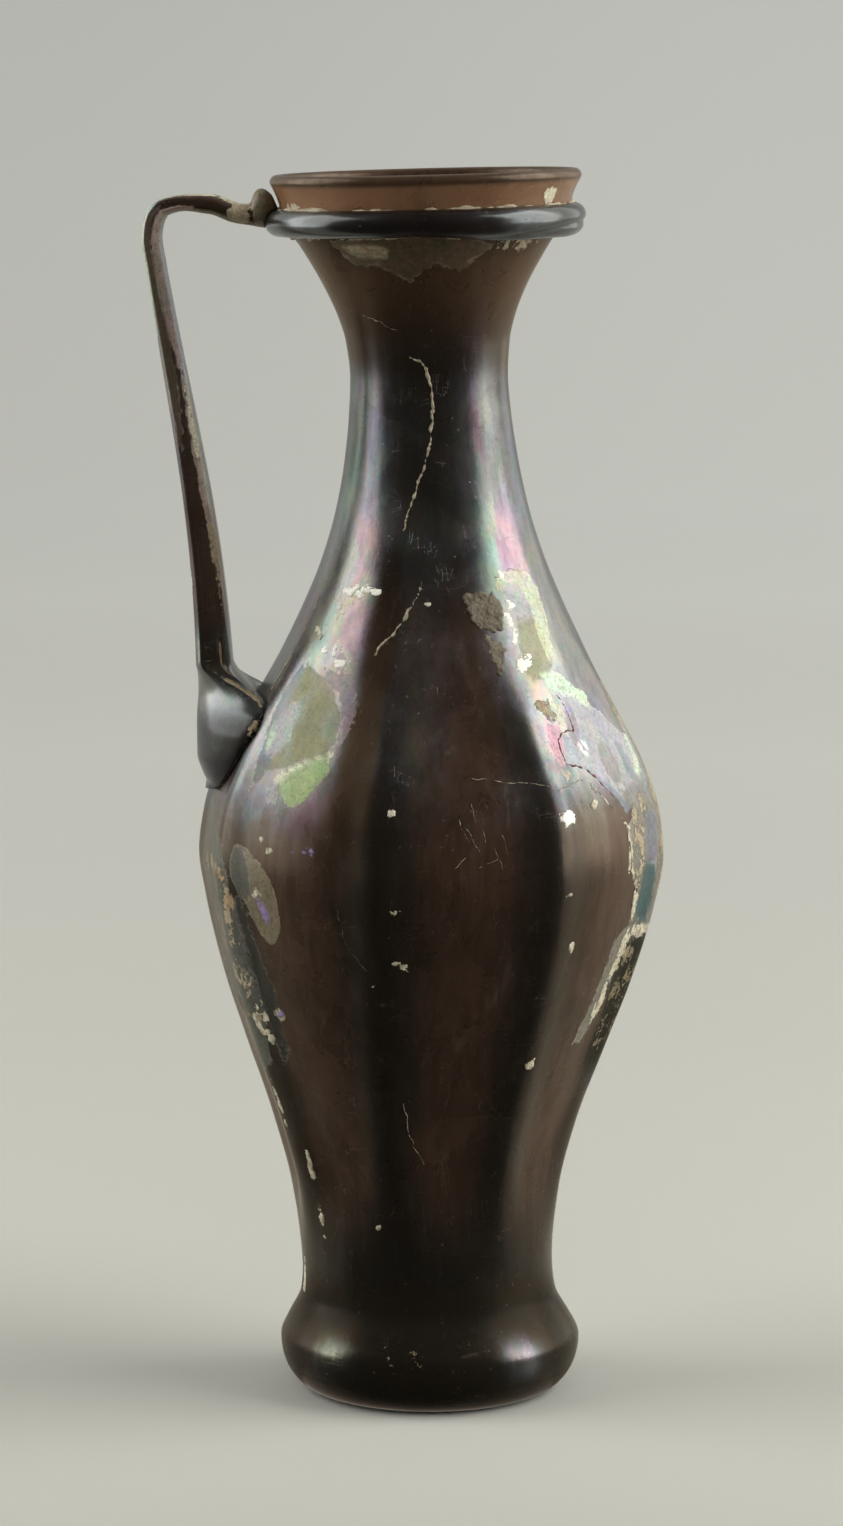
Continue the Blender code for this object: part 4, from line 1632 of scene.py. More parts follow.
    def traits(self, turn: float, along: float) -> Traits:
        """Works out what the glass is like at a point of the handle.

        Args:
            turn: Place round the section in degrees.
            along: Distance along the handle.

        Returns:
            The traits there, iridescent on the strap and glossy on the pad's upper part.
        """
        grain = polar(0.004, math.radians(turn), 0.05 * along)
        pad = fade(*self.pad_start, along)
        sheen = 0.7 * fade(*self.sheen_rise, along) * (1.0 - 0.6 * fade(*self.sheen_fall, along))
        sheen += (0.95 - sheen) * pad
        gloss = 1.0 - 0.62 * fade(*self.gloss_fall, along)
        # The brown painted glow of light coming through the glass is much weaker on the pad.
        return Traits((turn, along), 0.55 - 0.45 * pad, sheen, 0.0, grain, gloss=gloss)

    def build(self, patches: list[Patch | Film], finish: GlassFinish) -> bpy.types.Object:
        """Builds and dresses the handle.

        Args:
            patches: The weathered places, by turn round the section and distance along the handle.
            finish: The glass.

        Returns:
            The finished piece.
        """
        painter = Painter(patches, self.outline)
        work = bmesh.new()
        loops, traits = [], []
        low = Vector(CAD_BOX[0])
        for along, ring in self.rings():
            loop = bmesh.ops.create_circle(work, segments=self.sides, radius=MM)["verts"]
            middle = sum(ring, Vector()) / len(ring)
            for side, (vertex, point) in enumerate(zip(loop, ring)):
                turn = 360.0 * side / self.sides
                crust, _, _ = painter.blend(Cover.CRUST, (turn, along))
                bumpy = crust * max(noise.noise(point * 900.0), 0.0)
                lifted = point + (point - middle).normalized() * self.crust_rise * bumpy
                vertex.co = Vector((max(lifted.x, low.x + 0.02 * MM), lifted.y, lifted.z))
                traits.append(self.traits(turn, along))
            loops.append(loop)
        rounds = [[work.edges.get((a, b)) for a, b in zip(loop, loop[1:] + loop[:1])] for loop in loops]
        for lower, upper in zip(rounds, rounds[1:]):
            bmesh.ops.bridge_loops(work, edges=lower + upper)
        bmesh.ops.contextual_create(work, geom=rounds[0])
        bmesh.ops.contextual_create(work, geom=rounds[-1])
        bmesh.ops.recalc_face_normals(work, faces=work.faces)
        piece = finish_piece("drawn_handle", work, finish.make())
        painter.paint(piece, traits)
        dress(piece, "handle")
        return piece


@dataclass(frozen=True)
class Island:
    """One raised flake on the body; sizes in millimetres, azimuth and tilt in degrees."""

    azimuth: float
    height: float
    half_width: float
    half_height: float
    tilt: float = 0.0
    rise: float = 0.11
    ragged: float = 1.3


@dataclass(frozen=True)
class Plate:
    """One raised sheet of crust with its own outline of azimuth in degrees and height in millimetres."""

    points: tuple[Station, ...]
    rise: float = 0.35
    ragged: float = 0.9


@dataclass
class CrustField:
    """Raised flakes and sheets of crust of one colour, joined into one piece."""

    outline: Outline
    name: str
    cell: float = 0.21
    edge_noise: float = 520.0
    top_noise: float = 2400.0
    slope: float = 0.28
    sink: float = 0.16
    sink_from: float = 0.02
    drop_from: float = -0.12
    thickness: float = 0.18

    def raise_sheet(self, work: bmesh.types.BMesh, size: Station,
                    shape: Callable[[float, float], tuple[float, ...]], rise: float, ragged: float) -> None:
        """Adds one ragged sheet to a mesh.

        Args:
            work: The mesh.
            size: Width and height of the sheet in millimetres.
            shape: Gives azimuth, height and inwardness of a point of the sheet, from -1 to 1 both ways.
            rise: How far the sheet stands off the glass, in millimetres.
            ragged: How much its outline is broken.
        """
        columns, lines = (max(round(length / self.cell), 6) for length in size)
        made = bmesh.ops.create_grid(work, x_segments=columns, y_segments=lines, size=1.0)["verts"]
        sunk = set()
        for vertex in made:
            azimuth, height, inward = shape(vertex.co.x, vertex.co.y)
            place = self.outline.skin(azimuth, height * MM)
            value = inward + ragged * noise.fractal(place * self.edge_noise, 0.7, 2.1, 5)
            lift = rise * fade(0.0, self.slope, value) * (0.70 + 0.6 * noise.noise(place * self.top_noise))
            if value < self.sink_from:
                lift = -self.sink
            if value < self.drop_from:
                sunk.add(vertex)
            vertex.co = self.outline.skin(azimuth, height * MM, lift * MM)
        faces = {face for vertex in made for face in vertex.link_faces}
        dropped = [face for face in faces if all(vertex in sunk for vertex in face.verts)]
        bmesh.ops.delete(work, geom=dropped, context="FACES")

    def add_island(self, work: bmesh.types.BMesh, island: Island) -> None:
        """Adds one flake to a mesh.

        Args:
            work: The mesh.
            island: The flake.
        """
        reach = 1.35
        c, s = math.cos(math.radians(island.tilt)), math.sin(math.radians(island.tilt))
        radius = self.outline.outer_radius(island.height * MM) / MM

        def shape(x: float, y: float) -> tuple[float, ...]:
            """Azimuth, height and inwardness of a point of the flake."""
            across = reach * (x * island.half_width * c + y * island.half_height * s)
            up = reach * (y * island.half_height * c - x * island.half_width * s)
            azimuth = island.azimuth + math.degrees(across / radius)
            return azimuth, island.height + up, 1.0 - reach * math.hypot(x, y)

        size = (2.0 * reach * island.half_width, 2.0 * reach * island.half_height)
        self.raise_sheet(work, size, shape, island.rise, island.ragged)

    def add_plate(self, work: bmesh.types.BMesh, plate: Plate) -> None:
        """Adds one sheet to a mesh.

        Args:
            work: The mesh.
            plate: The sheet.
        """
        region = Region(plate.points, self.outline)
        margin = 1.0
        width = (region.right - region.left) / 2.0 + margin
        height = (region.high - region.low) / 2.0 + margin

        def shape(x: float, y: float) -> tuple[float, ...]:
            """Azimuth, height and inwardness of a point of the sheet."""
            level = (region.low + region.high) / 2.0 + y * height
            across = (region.left + region.right) / 2.0 + x * width
            azimuth = region.middle + math.degrees(across * MM / self.outline.outer_radius(level * MM))
            return azimuth, level, region.depth(azimuth, level, 2.0 * margin)

        self.raise_sheet(work, (2.0 * width, 2.0 * height), shape, plate.rise, plate.ragged)

    def build(self, pieces: list[Island | Plate], finish: CrustFinish) -> bpy.types.Object:
        """Builds and dresses the flakes and sheets.

        Args:
            pieces: The flakes and sheets.
            finish: The crust.

        Returns:
            The finished piece.
        """
        work = bmesh.new()
        for piece in pieces:
            if isinstance(piece, Plate):
                self.add_plate(work, piece)
            else:
                self.add_island(work, piece)
        bmesh.ops.recalc_face_normals(work, faces=work.faces)
        bmesh.ops.solidify(work, geom=list(work.faces), thickness=self.thickness * MM)
        bmesh.ops.recalc_face_normals(work, faces=work.faces)
        piece = finish_piece(self.name, work, finish.make())
        dress(piece)
        return piece


@dataclass(frozen=True)
class Crack:
    """A thin raised line of crust through points of azimuth in degrees and height in millimetres."""

    points: tuple[Station, ...]
    half_width: float = 0.16
    rise: float = 0.10


@dataclass
class CrackField:
    """Cracks and scratches filled with crust, joined into one piece."""

    outline: Outline
    name: str
    step: float = 0.25
    waver: float = 0.4
    waver_noise: float = 700.0
    plain_width: float = 0.66
    width_noises: tuple[Station, ...] = ((1.0, 310.0), (1.5, 1700.0))
    least_width: float = 0.25
    bare_width: float = 0.26
    sink: float = 0.05
    thickness: float = 0.08

    def add_crack(self, work: bmesh.types.BMesh, crack: Crack) -> None:
        """Adds one crack as a ribbon whose width breaks down in places.

        Args:
            work: The mesh.
            crack: The crack.
        """
        lengths = [0.0]
        for a, b in zip(crack.points, crack.points[1:]):
            radius = self.outline.outer_radius(0.5 * (a[1] + b[1]) * MM) / MM
            lengths.append(lengths[-1] + math.hypot(math.radians(b[0] - a[0]) * radius, b[1] - a[1]))
        turns = SmoothCurve([(s, p[0]) for s, p in zip(lengths, crack.points)])
        heights = SmoothCurve([(s, p[1]) for s, p in zip(lengths, crack.points)])
        steps = round(lengths[-1] / self.step)
        for vertex in bmesh.ops.create_grid(work, x_segments=steps, y_segments=2, size=1.0)["verts"]:
            s = lengths[-1] * (vertex.co.x + 1.0) / 2.0
            side = vertex.co.y
            azimuth, height = turns.at(s), heights.at(s)
            place = self.outline.skin(azimuth, height * MM)
            ahead, behind = min(s + self.step, lengths[-1]), max(s - self.step, 0.0)
            radius = self.outline.outer_radius(height * MM) / MM
            turned_by = math.radians(turns.at(ahead) - turns.at(behind))
            along = (turned_by * radius, heights.at(ahead) - heights.at(behind))
            length = math.hypot(*along)
            width = self.plain_width
            width += sum(amount * noise.noise(place * scale) for amount, scale in self.width_noises)
            narrow = width <= self.bare_width
            width = crack.half_width * max(width, self.least_width)
            lift = -self.sink if abs(side) > 0.5 or narrow else crack.rise
            offset = self.waver * noise.noise(place * self.waver_noise) + side * width
            turn = azimuth - math.degrees(offset * along[1] / length / radius)
            vertex.co = self.outline.skin(turn, (height + offset * along[0] / length) * MM, lift * MM)

    def build(self, cracks: list[Crack], finish: CrustFinish) -> bpy.types.Object:
        """Builds and dresses the cracks.

        Args:
            cracks: The cracks.
            finish: The crust that fills them.

        Returns:
            The finished piece.
        """
        work = bmesh.new()
        for crack in cracks:
            self.add_crack(work, crack)
        bmesh.ops.recalc_face_normals(work, faces=work.faces)
        bmesh.ops.solidify(work, geom=list(work.faces), thickness=self.thickness * MM)
        bmesh.ops.recalc_face_normals(work, faces=work.faces)
        piece = finish_piece(self.name, work, finish.make())
        dress(piece)
        return piece


@dataclass
class SeamCrust:
    """An uneven bead of crust lying in the seam above or below the trail."""

    outline: Outline
    name: str
    height: float
    stand_off: float = 0.0002
    thickness: float = 0.00085
    columns: int = 420
    sides: int = 10
    seed: float = 0.0
    gaps: float = 0.05

    def build(self, finish: CrustFinish) -> bpy.types.Object:
        """Builds and dresses the bead.

        Args:
            finish: The crust.

        Returns:
            The finished piece.
        """
        o = self.outline
        centre = o.outer_radius(self.height) + self.stand_off
        work = turned(circle(centre, MM, self.sides), self.columns, True)
        for vertex in work.verts:
            angle = math.atan2(vertex.co.y, vertex.co.x)
            offset = (math.hypot(vertex.co.x, vertex.co.y) - centre) / MM
            up = vertex.co.z / MM
            around = Vector((math.cos(angle) * 5.0, math.sin(angle) * 5.0, self.seed))
            amount = max(0.45 + noise.fractal(around, 0.6, 2.2, 5) - self.gaps, 0.04)
            size = self.thickness * min(amount, 1.0)
            radius = centre + size * offset
            height = self.height + size * up * (1.0 + 0.4 * noise.noise(around * 3.0))
            vertex.co = o.settle(polar(radius, angle, height))
        bmesh.ops.recalc_face_normals(work, faces=work.faces)
        piece = finish_piece(self.name, work, finish.make())
        dress(piece)
        return piece


@dataclass
class Softbox:
    """One tall rectangular light that faces the object."""

    name: str
    azimuth: float
    distance: float = 1.0
    width: float = 0.95
    height: float = 1.25
    middle: float = 0.62
    power: float = 9.0
    colour: Colour = (1.0, 0.985, 0.95)
    glossy: bool = True
    diffuse: bool = True

    def build(self, target: Vector) -> bpy.types.Object:
        """Builds the light.

        Args:
            target: The point that it faces.

        Returns:
            The light's object.
        """
        data = bpy.data.lights.new(self.name, "AREA")
        data.shape = "RECTANGLE"
        data.size = self.width
        data.size_y = self.height
        data.energy = self.power
        data.color = self.colour
        light = bpy.data.objects.new(self.name, data)
        turn = math.radians(self.azimuth)
        light.location = (math.sin(turn) * self.distance, -math.cos(turn) * self.distance, self.middle)
        light.rotation_euler = (target - light.location).to_track_quat("-Z", "Y").to_euler()
        light.visible_camera = False
        light.visible_glossy = self.glossy
        light.visible_diffuse = self.diffuse
        bpy.context.scene.collection.objects.link(light)
        return light


@dataclass
class Studio:
    """Pale paper floor and sweep, the lights and the camera."""

    outline: Outline
    floor_radius: float = 2.4
    sweep_radius: float = 0.9
    wall_height: float = 3.2
    columns: int = 96
    front_half_angle: float = 75.0
    camera_distance: float = 0.947
    camera_height: float = 0.245
    camera_side: float = -0.00167
    camera_pitch: float = 7.253
    lens: float = 114.9
    sensor: float = 36.0
    front_light: float = 0.025
    back_light: float = 0.75
    light_turn: float = 0.25
    light_start: float = -0.15
    light_end: float = 0.45
    light_tint: Colour = (1.0, 0.99, 0.97)
    target_z: float = 0.15
    apron_radius: float = 1.6

    def sweep(self) -> bmesh.types.BMesh:
        """The floor and the surrounding wall as one turned sheet.

        Returns:
            The mesh, facing inwards and up.
        """
        profile = [(0.0, 0.0), (0.3, 0.0), (0.8, 0.0), (self.apron_radius, 0.0), (self.floor_radius, 0.0)]
        for step in range(1, 13):
            turn = 0.5 * math.pi * step / 12.0
            profile.append((self.floor_radius + self.sweep_radius * math.sin(turn),
                            self.sweep_radius * (1.0 - math.cos(turn))))
        profile.append((self.floor_radius + self.sweep_radius, self.wall_height))
        work = turned(profile, self.columns, False)
        bmesh.ops.recalc_face_normals(work, faces=work.faces)
        floor = min(work.faces, key=lambda face: face.calc_center_median().length)
        if floor.normal.z < 0.0:
            bmesh.ops.reverse_faces(work, faces=work.faces)
        return work

    def build_sweep(self, finish: PaperFinish) -> list[bpy.types.Object]:
        """Builds the floor with the back wall, and the floor and wall in front, which no gloss shows.

        Args:
            finish: The paper.

        Returns:
            The three sheets.
        """
        material = finish.make()
        sheets = []
        for name in ("paper_back", "paper_apron", "paper_front"):
            work = self.sweep()
            drop = []
            for face in work.faces:
                middle = face.calc_center_median()
                azimuth = math.degrees(math.atan2(middle.x, -middle.y))
                part = "paper_back"
                if abs(azimuth) < self.front_half_angle:
                    far = math.hypot(middle.x, middle.y) > self.apron_radius
                    part = "paper_front" if far else "paper_apron"
                if part != name:
                    drop.append(face)
            bmesh.ops.delete(work, geom=drop, context="FACES")
            sheet = finish_piece(name, work, material)
            sheet.visible_glossy = name == "paper_back"
            sheet.visible_diffuse = name != "paper_front"
            sheets.append(sheet)
        return sheets

    def build_world(self) -> None:
        """Builds the light all round, brighter behind the object."""
        world = bpy.data.worlds.new("studio")
        world.use_nodes = True
        tree = world.node_tree
        split = tree.nodes.new("ShaderNodeSeparateXYZ")
        tree.links.new(tree.nodes.new("ShaderNodeTexCoord").outputs["Generated"], split.inputs[0])
        tilted = tree.nodes.new("ShaderNodeMath")
        tilted.operation = "MULTIPLY_ADD"
        tilted.inputs[1].default_value = self.light_turn
        tree.links.new(split.outputs["X"], tilted.inputs[0])
        tree.links.new(split.outputs["Y"], tilted.inputs[2])
        behind = tree.nodes.new("ShaderNodeMapRange")
        tree.links.new(tilted.outputs[0], behind.inputs["Value"])
        levels = (self.light_start, self.light_end, self.front_light, self.back_light)
        for name, value in zip(("From Min", "From Max", "To Min", "To Max"), levels):
            behind.inputs[name].default_value = value
        tree.links.new(behind.outputs["Result"], tree.nodes["Background"].inputs["Strength"])
        tree.nodes["Background"].inputs["Color"].default_value = (*self.light_tint, 1.0)
        bpy.context.scene.world = world

    def build_camera(self) -> bpy.types.Object:
        """Builds the camera at the photograph's viewing angle.

        Returns:
            The camera.
        """
        data = bpy.data.cameras.new("camera")
        data.lens = self.lens
        data.sensor_width = self.sensor
        data.clip_start = 0.05
        data.clip_end = 20.0
        camera = bpy.data.objects.new("camera", data)
        axis = self.outline.axis
        camera.location = (axis.x + self.camera_side, axis.y - self.camera_distance, self.camera_height)
        camera.rotation_euler = (math.radians(90.0 - self.camera_pitch), 0.0, 0.0)
        bpy.context.scene.collection.objects.link(camera)
        bpy.context.scene.camera = camera
        return camera

    def build(self, finish: PaperFinish) -> None:
        """Builds the whole studio.

        Args:
            finish: The paper.
        """
        bpy.context.scene.view_settings.view_transform = "Standard"
        self.build_world()
        self.build_sweep(finish)
        target = Vector((0.0, 0.0, self.target_z))
        Softbox("left_softbox", -84.0, width=1.05, power=13.5, glossy=False).build(target)
        Softbox("right_softbox", 79.0, width=1.15, power=20.5, glossy=False).build(target)
        Softbox("left_reflection", -96.5, width=0.94, power=13.8, diffuse=False).build(target)
        Softbox("right_reflection", 88.0, width=0.95, power=19.0, diffuse=False).build(target)
        Softbox("left_edge", -134.0, width=0.60, power=1.0, diffuse=False).build(target)
        Softbox("right_edge", 128.0, width=0.75, power=3.4, diffuse=False).build(target)
        Softbox("front_fill", 0.0, 1.3, 1.4, 1.0, 1.5, 3.8, glossy=False).build(target)
        self.build_camera()
        LOG.info("studio built")


OLIVE_LEFT: tuple[Station, ...] = (
    (-53, 146), (-44, 144), (-36, 141), (-31, 137), (-31, 133), (-33, 130), (-46, 127), (-53, 126),
    (-52, 129),
    (-48, 132), (-49, 134), (-48, 137), (-50, 139), (-54, 139))
LIME_LEFT: tuple[Station, ...] = (
    (-45, 126), (-40, 128), (-32, 130), (-30, 127), (-36, 121), (-40, 120), (-46, 123))
PINK_RIGHT: tuple[Station, ...] = ((36, 136), (44, 135), (40, 128), (37, 128), (35, 132))
OLIVE_RIGHT: tuple[Station, ...] = (
    (38, 155), (50, 155), (51, 147), (46, 144), (36, 143), (34, 146), (36, 151))

BODY_PATCHES: list[Patch | Film] = [
    # Right shoulder: an arc of straw film round a pale core and an olive one, grey-lilac film below
    Film(Cover.FILM, Tint.OLIVE, OLIVE_RIGHT),
    Film(Cover.FILM, Tint.PEARL, (
        (34, 160), (38, 162), (44, 161.5), (47, 159), (48, 155), (38, 154.5), (37, 158)), 1.0, 2.0),
    Film(Cover.FILM, Tint.STRAW, (
        (30, 160.5), (33, 162.5), (38, 163.5), (46, 164), (54, 163), (57, 160), (56, 155), (51, 147),
        (48, 147),
        (47, 152), (48, 155), (47, 159), (44, 161.5), (38, 162), (33, 160)), 0.95, 2.5),
    Film(Cover.FILM, Tint.LILAC, (
        (48, 140.5), (60, 139), (68, 136), (75, 132), (75, 127), (72, 122), (67, 119.5), (59, 121),
        (54, 123.5),
        (47, 127), (40, 128.5), (40, 132.5), (43, 133.5), (49, 134), (50, 136)), 0.95, 2.5),
    Film(Cover.FILM, Tint.MINT, (
        (41, 144.5), (48, 145), (64, 139.5), (63, 137), (52, 140), (43, 141)), 0.8),
    Film(Cover.FILM, Tint.STRAW, ((42, 141.5), (48.5, 136), (49, 133.5), (43, 133), (41, 137)), 0.8),
    Film(Cover.CRUST, Tint.BEIGE, ((34, 139.5), (40, 141), (44, 137.5), (41, 135.5), (35, 138)), 0.64, 3.0),
    Film(Cover.FILM, Tint.PINK, PINK_RIGHT, 0.9),
    Film(Cover.FILM, Tint.ORANGE, ((35, 128.5), (42, 127.5), (47, 126), (44, 124.5), (37, 124)), 0.62),
    Film(Cover.FILM, Tint.STEEL, (
        (47, 127), (54, 123), (59, 120.5), (62, 117), (66, 118.5), (62, 121), (54, 124.5),
        (49, 127)), 0.9, 2.0),
    Film(Cover.FILM, Tint.MINT, (
        (75, 132), (75, 127), (73, 122), (73, 119), (75, 120), (78, 128), (78, 132)), 0.8, 2.5),
    Patch(Cover.FILM, Tint.MAUVE, 49.5, 134.5, 2.2, 5.0, 10.0, 0.8),
    Patch(Cover.FILM, Tint.ASH, 61.5, 127.0, 3.6, 5.0, -10.0, 0.75),
    Patch(Cover.FILM, Tint.STEEL, 71.0, 126.0, 1.4, 6.0, -6.0, 0.8),
    Patch(Cover.FILM, Tint.PEARL, 58.0, 133.0, 1.9, 2.0, 0.0, 0.9),
    Patch(Cover.FILM, Tint.VIOLET, 50.0, 137.5, 0.8, 0.9, 0.0, 0.9),
    Patch(Cover.FILM, Tint.WHITE, 51.0, 130.5, 1.5, 1.3, 20.0, 0.9),
    Patch(Cover.FILM, Tint.MAUVE, 51.0, 130.5, 0.8, 0.7, 20.0, 0.9),
    # Right edge: ash-grey film under broken crust, a blue and a teal strip, rough black glass below
    Film(Cover.FILM, Tint.ASH, (
        (61, 121), (66, 118), (62, 114), (61, 107), (68, 101), (67, 95), (61, 93), (55, 72), (60, 72),
        (66, 84),
        (70, 92), (92, 93), (96, 108), (94, 142), (79, 141), (76, 124)), 0.9),
    Film(Cover.FILM, Tint.INK, (
        (70, 92), (86, 92), (90, 80), (88, 66), (76, 60), (68, 68), (68, 78), (66, 86)), 1.0, 1.2),
    Film(Cover.CRUST, Tint.EARTH, ((70, 91), (88, 91), (88, 68), (69, 70), (67, 85)), 0.44, 2.0),
    Film(Cover.FILM, Tint.STEEL, (
        (73, 117), (77, 116), (76, 111), (75, 106), (71, 106), (71, 111)), 1.0, 2.0),
    Film(Cover.FILM, Tint.TEAL, (
        (70, 107), (75, 106.5), (76.5, 99), (76, 95), (70, 96), (69, 100), (69, 104)), 1.0, 2.0),
    Film(Cover.CRUST, Tint.BEIGE, (
        (79, 141), (76, 138), (76, 134), (78, 131), (78, 126), (77, 122), (77, 99), (92, 97), (98, 118),
        (93, 143)), 0.55, 2.5),
    Film(Cover.CRUST, Tint.BEIGE, (
        (63, 120), (69, 118.5), (72.5, 122), (74, 118), (70.5, 111), (69, 105), (68, 98), (64, 103),
        (62, 108),
        (63.5, 113)), 0.53, 2.0),
    Film(Cover.CRUST, Tint.CREAM, (
        (44, 125), (51, 121), (57.5, 117), (61, 113.5), (60.5, 107), (66, 101.5), (66, 95), (61, 83),
        (59, 76),
        (62.5, 74), (66.5, 79.5), (66, 83), (70.5, 91.5), (70.5, 95), (69, 101), (63, 107), (64, 112),
        (63, 115.5),
        (56, 119.5), (49, 125)), 0.62, 2.0),
    Film(Cover.CRUST, Tint.CREAM, (
        (70, 95.5), (76, 94.5), (84, 94.5), (84, 92), (73, 91.5), (69, 93)), 0.64, 1.5),
    # Left shoulder: olive film on a red-grey one, a lilac tongue beside it, lime and pearl below
    Film(Cover.FILM, Tint.MAUVE, (
        (-45, 146), (-29, 145.5), (-26, 141), (-25, 136.5), (-27, 133.5), (-30, 130.5), (-33, 130.5),
        (-31, 133),
        (-31, 137), (-36, 141), (-44, 143)), 0.72),
    Film(Cover.FILM, Tint.SLATE, (
        (-55, 146.5), (-59, 142), (-60, 137), (-57.5, 131), (-56, 122), (-52, 126), (-54, 131),
        (-53, 142.5)),
        0.85, 3.0),
    Film(Cover.FILM, Tint.OLIVE, OLIVE_LEFT, 1.0, 2.0),
    Film(Cover.FILM, Tint.LILAC, (
        (-49.5, 139), (-53, 138), (-57, 135), (-57, 132), (-55, 129), (-51, 129.5), (-49, 131.5),
        (-49.5, 134),
        (-48, 137)), 1.0, 1.6),
    Film(Cover.FILM, Tint.CREAM, (
        (-50, 125), (-41.5, 128.5), (-33, 130), (-29, 132), (-30, 129.5), (-39, 126.5),
        (-48, 123.5)), 0.62, 1.6),
    Film(Cover.FILM, Tint.LIME, LIME_LEFT, 0.85, 2.5),
    Patch(Cover.FILM, Tint.MINT, -55.5, 131.5, 0.9, 1.6, 0.0, 0.9),
    Patch(Cover.FILM, Tint.SLATE, -54.5, 127.5, 1.8, 0.9, 0.0, 0.9),
    Film(Cover.FILM, Tint.PEARL, ((-42, 151), (-31, 146.5), (-38, 145.5)), 0.8, 3.0),
    Film(Cover.FILM, Tint.PEARL, (
        (-52, 123.5), (-48, 124), (-45, 122.5), (-45.5, 120), (-49.5, 120)), 0.62, 2.0),
    Patch(Cover.HUE, Tint.MAGENTA_GLOSS, -34.0, 120.0, 4.0, 6.0, 20.0, 0.8),
    # Left edge: orange and beige crust on grey film, a grey-green lens with a violet eye
    Film(Cover.FILM, Tint.SLATE, (
        (-90, 118), (-61, 112), (-58, 103), (-54, 80), (-58, 68), (-72, 64), (-92, 80)), 0.85),
    Film(Cover.FILM, Tint.INK, (
        (-56, 104), (-52, 94), (-48, 83), (-49, 71), (-54, 66), (-55, 79), (-57, 94),
        (-58, 100)), 0.70, 3.0),
    Film(Cover.CRUST, Tint.BEIGE, (
        (-90, 109), (-65, 108), (-60, 103), (-57, 93), (-55, 81), (-58, 80), (-66, 84),
        (-90, 92)), 0.43, 2.0),
    Film(Cover.FILM, Tint.EARTH, (
        (-57, 111.5), (-53, 111.5), (-48, 109), (-44, 106.5), (-42, 102.5), (-42, 96.5), (-46, 93),
        (-49, 94),
        (-52, 98), (-56, 107)), 0.9, 2.0),
    Patch(Cover.FILM, Tint.SLATE, -54.5, 106.5, 2.6, 6.0, -12.0, 0.8),
    Film(Cover.FILM, Tint.VIOLET, (
        (-49.5, 102), (-47.5, 101.5), (-46, 99), (-46.5, 97.5), (-48.5, 98.5)), 1.0, 1.0),
    Film(Cover.CRUST, Tint.BEIGE, (
        (-51, 104), (-49, 105), (-46, 103.5), (-47.5, 101.5), (-49.5, 101.5), (-51, 102.5)), 0.62, 1.2),
    Film(Cover.CRUST, Tint.BEIGE, (
        (-75, 109), (-60.5, 108), (-58, 104), (-57, 99.5), (-58, 98), (-67, 103), (-77, 106)), 0.52, 2.0),
    Film(Cover.CRUST, Tint.ORANGE, (
        (-67.5, 106.5), (-59.5, 107.5), (-59.5, 104), (-62, 102.5), (-70, 104)), 0.58, 1.5),
    Film(Cover.CRUST, Tint.ORANGE, ((-61.5, 101.5), (-58, 103), (-57, 99.5), (-60, 98)), 0.66, 1.5),
    Film(Cover.CRUST, Tint.EARTH, (
        (-90, 79), (-61.5, 80.5), (-60, 77.5), (-65, 76.5), (-89, 75.5)), 0.62, 2.0),
    Film(Cover.CRUST, Tint.CREAM, (
        (-60, 78), (-56.5, 82), (-54.5, 84), (-53.5, 77), (-54.5, 72), (-60, 75)), 0.58, 1.6),
    Film(Cover.CRUST, Tint.BEIGE, (
        (-53, 80), (-46.5, 81), (-45.5, 78.5), (-49, 76.5), (-51.5, 78)), 0.50, 1.5),
    # Skin of the neck and shoulder
    Film(Cover.HUE, Tint.OLIVE_GLOSS, OLIVE_LEFT, 1.0, 3.0),
    Film(Cover.HUE, Tint.LIME_GLOSS, LIME_LEFT, 1.0, 4.0),
    Film(Cover.HUE, Tint.MAGENTA_GLOSS, PINK_RIGHT, 1.0, 3.0),
    Film(Cover.HUE, Tint.OLIVE_GLOSS, OLIVE_RIGHT, 0.8, 3.0),
    Patch(Cover.HUE, Tint.MAGENTA_GLOSS, 43.0, 169.0, 4.5, 7.0, 0.0, 1.0),
    Patch(Cover.HUE, Tint.GREY_GLOSS, 62.0, 152.0, 5.0, 16.0, 14.0, 1.0),
    Patch(Cover.HUE, Tint.MAGENTA_GLOSS, 38.0, 198.0, 3.2, 14.0),
    Patch(Cover.HUE, Tint.LILAC_GLOSS, 30.0, 205.0, 4.0, 12.0, 0.0, 0.7),
    Patch(Cover.HUE, Tint.GREY_GLOSS, 49.0, 195.0, 4.0, 16.0, 0.0, 0.8),
    Patch(Cover.HUE, Tint.STRAW_GLOSS, 37.0, 178.0, 2.6, 8.0, 0.0, 0.7),
    Patch(Cover.HUE, Tint.MAGENTA_GLOSS, 47.0, 170.0, 4.0, 9.0, 0.0, 0.8),
    Patch(Cover.HUE, Tint.GREEN_GLOSS, 30.0, 168.0, 2.4, 12.0, 0.0, 0.8),
    Patch(Cover.HUE, Tint.STRAW_GLOSS, 45.0, 119.0, 5.0, 7.0, 0.0, 0.6),
    Patch(Cover.HUE, Tint.GREEN_GLOSS, -61.0, 182.0, 3.2, 13.0, 0.0, 0.7),
    Patch(Cover.HUE, Tint.LILAC_GLOSS, -44.0, 196.0, 3.4, 10.0, 0.0, 0.7),
    Patch(Cover.HUE, Tint.MAGENTA_GLOSS, -40.0, 168.0, 4.2, 8.0, 0.0, 0.8),
    Patch(Cover.HUE, Tint.STRAW_GLOSS, -51.0, 166.0, 3.0, 5.0, 0.0, 0.7),
    Patch(Cover.HUE, Tint.MAGENTA_GLOSS, -34.0, 153.0, 5.0, 6.0, 0.0, 0.8),
    Patch(Cover.HUE, Tint.GREEN_GLOSS, -52.0, 152.0, 3.0, 6.0, 12.0, 0.7),
    Patch(Cover.HUE, Tint.STRAW_GLOSS, -44.0, 155.0, 1.6, 4.0, 0.0, 0.8),
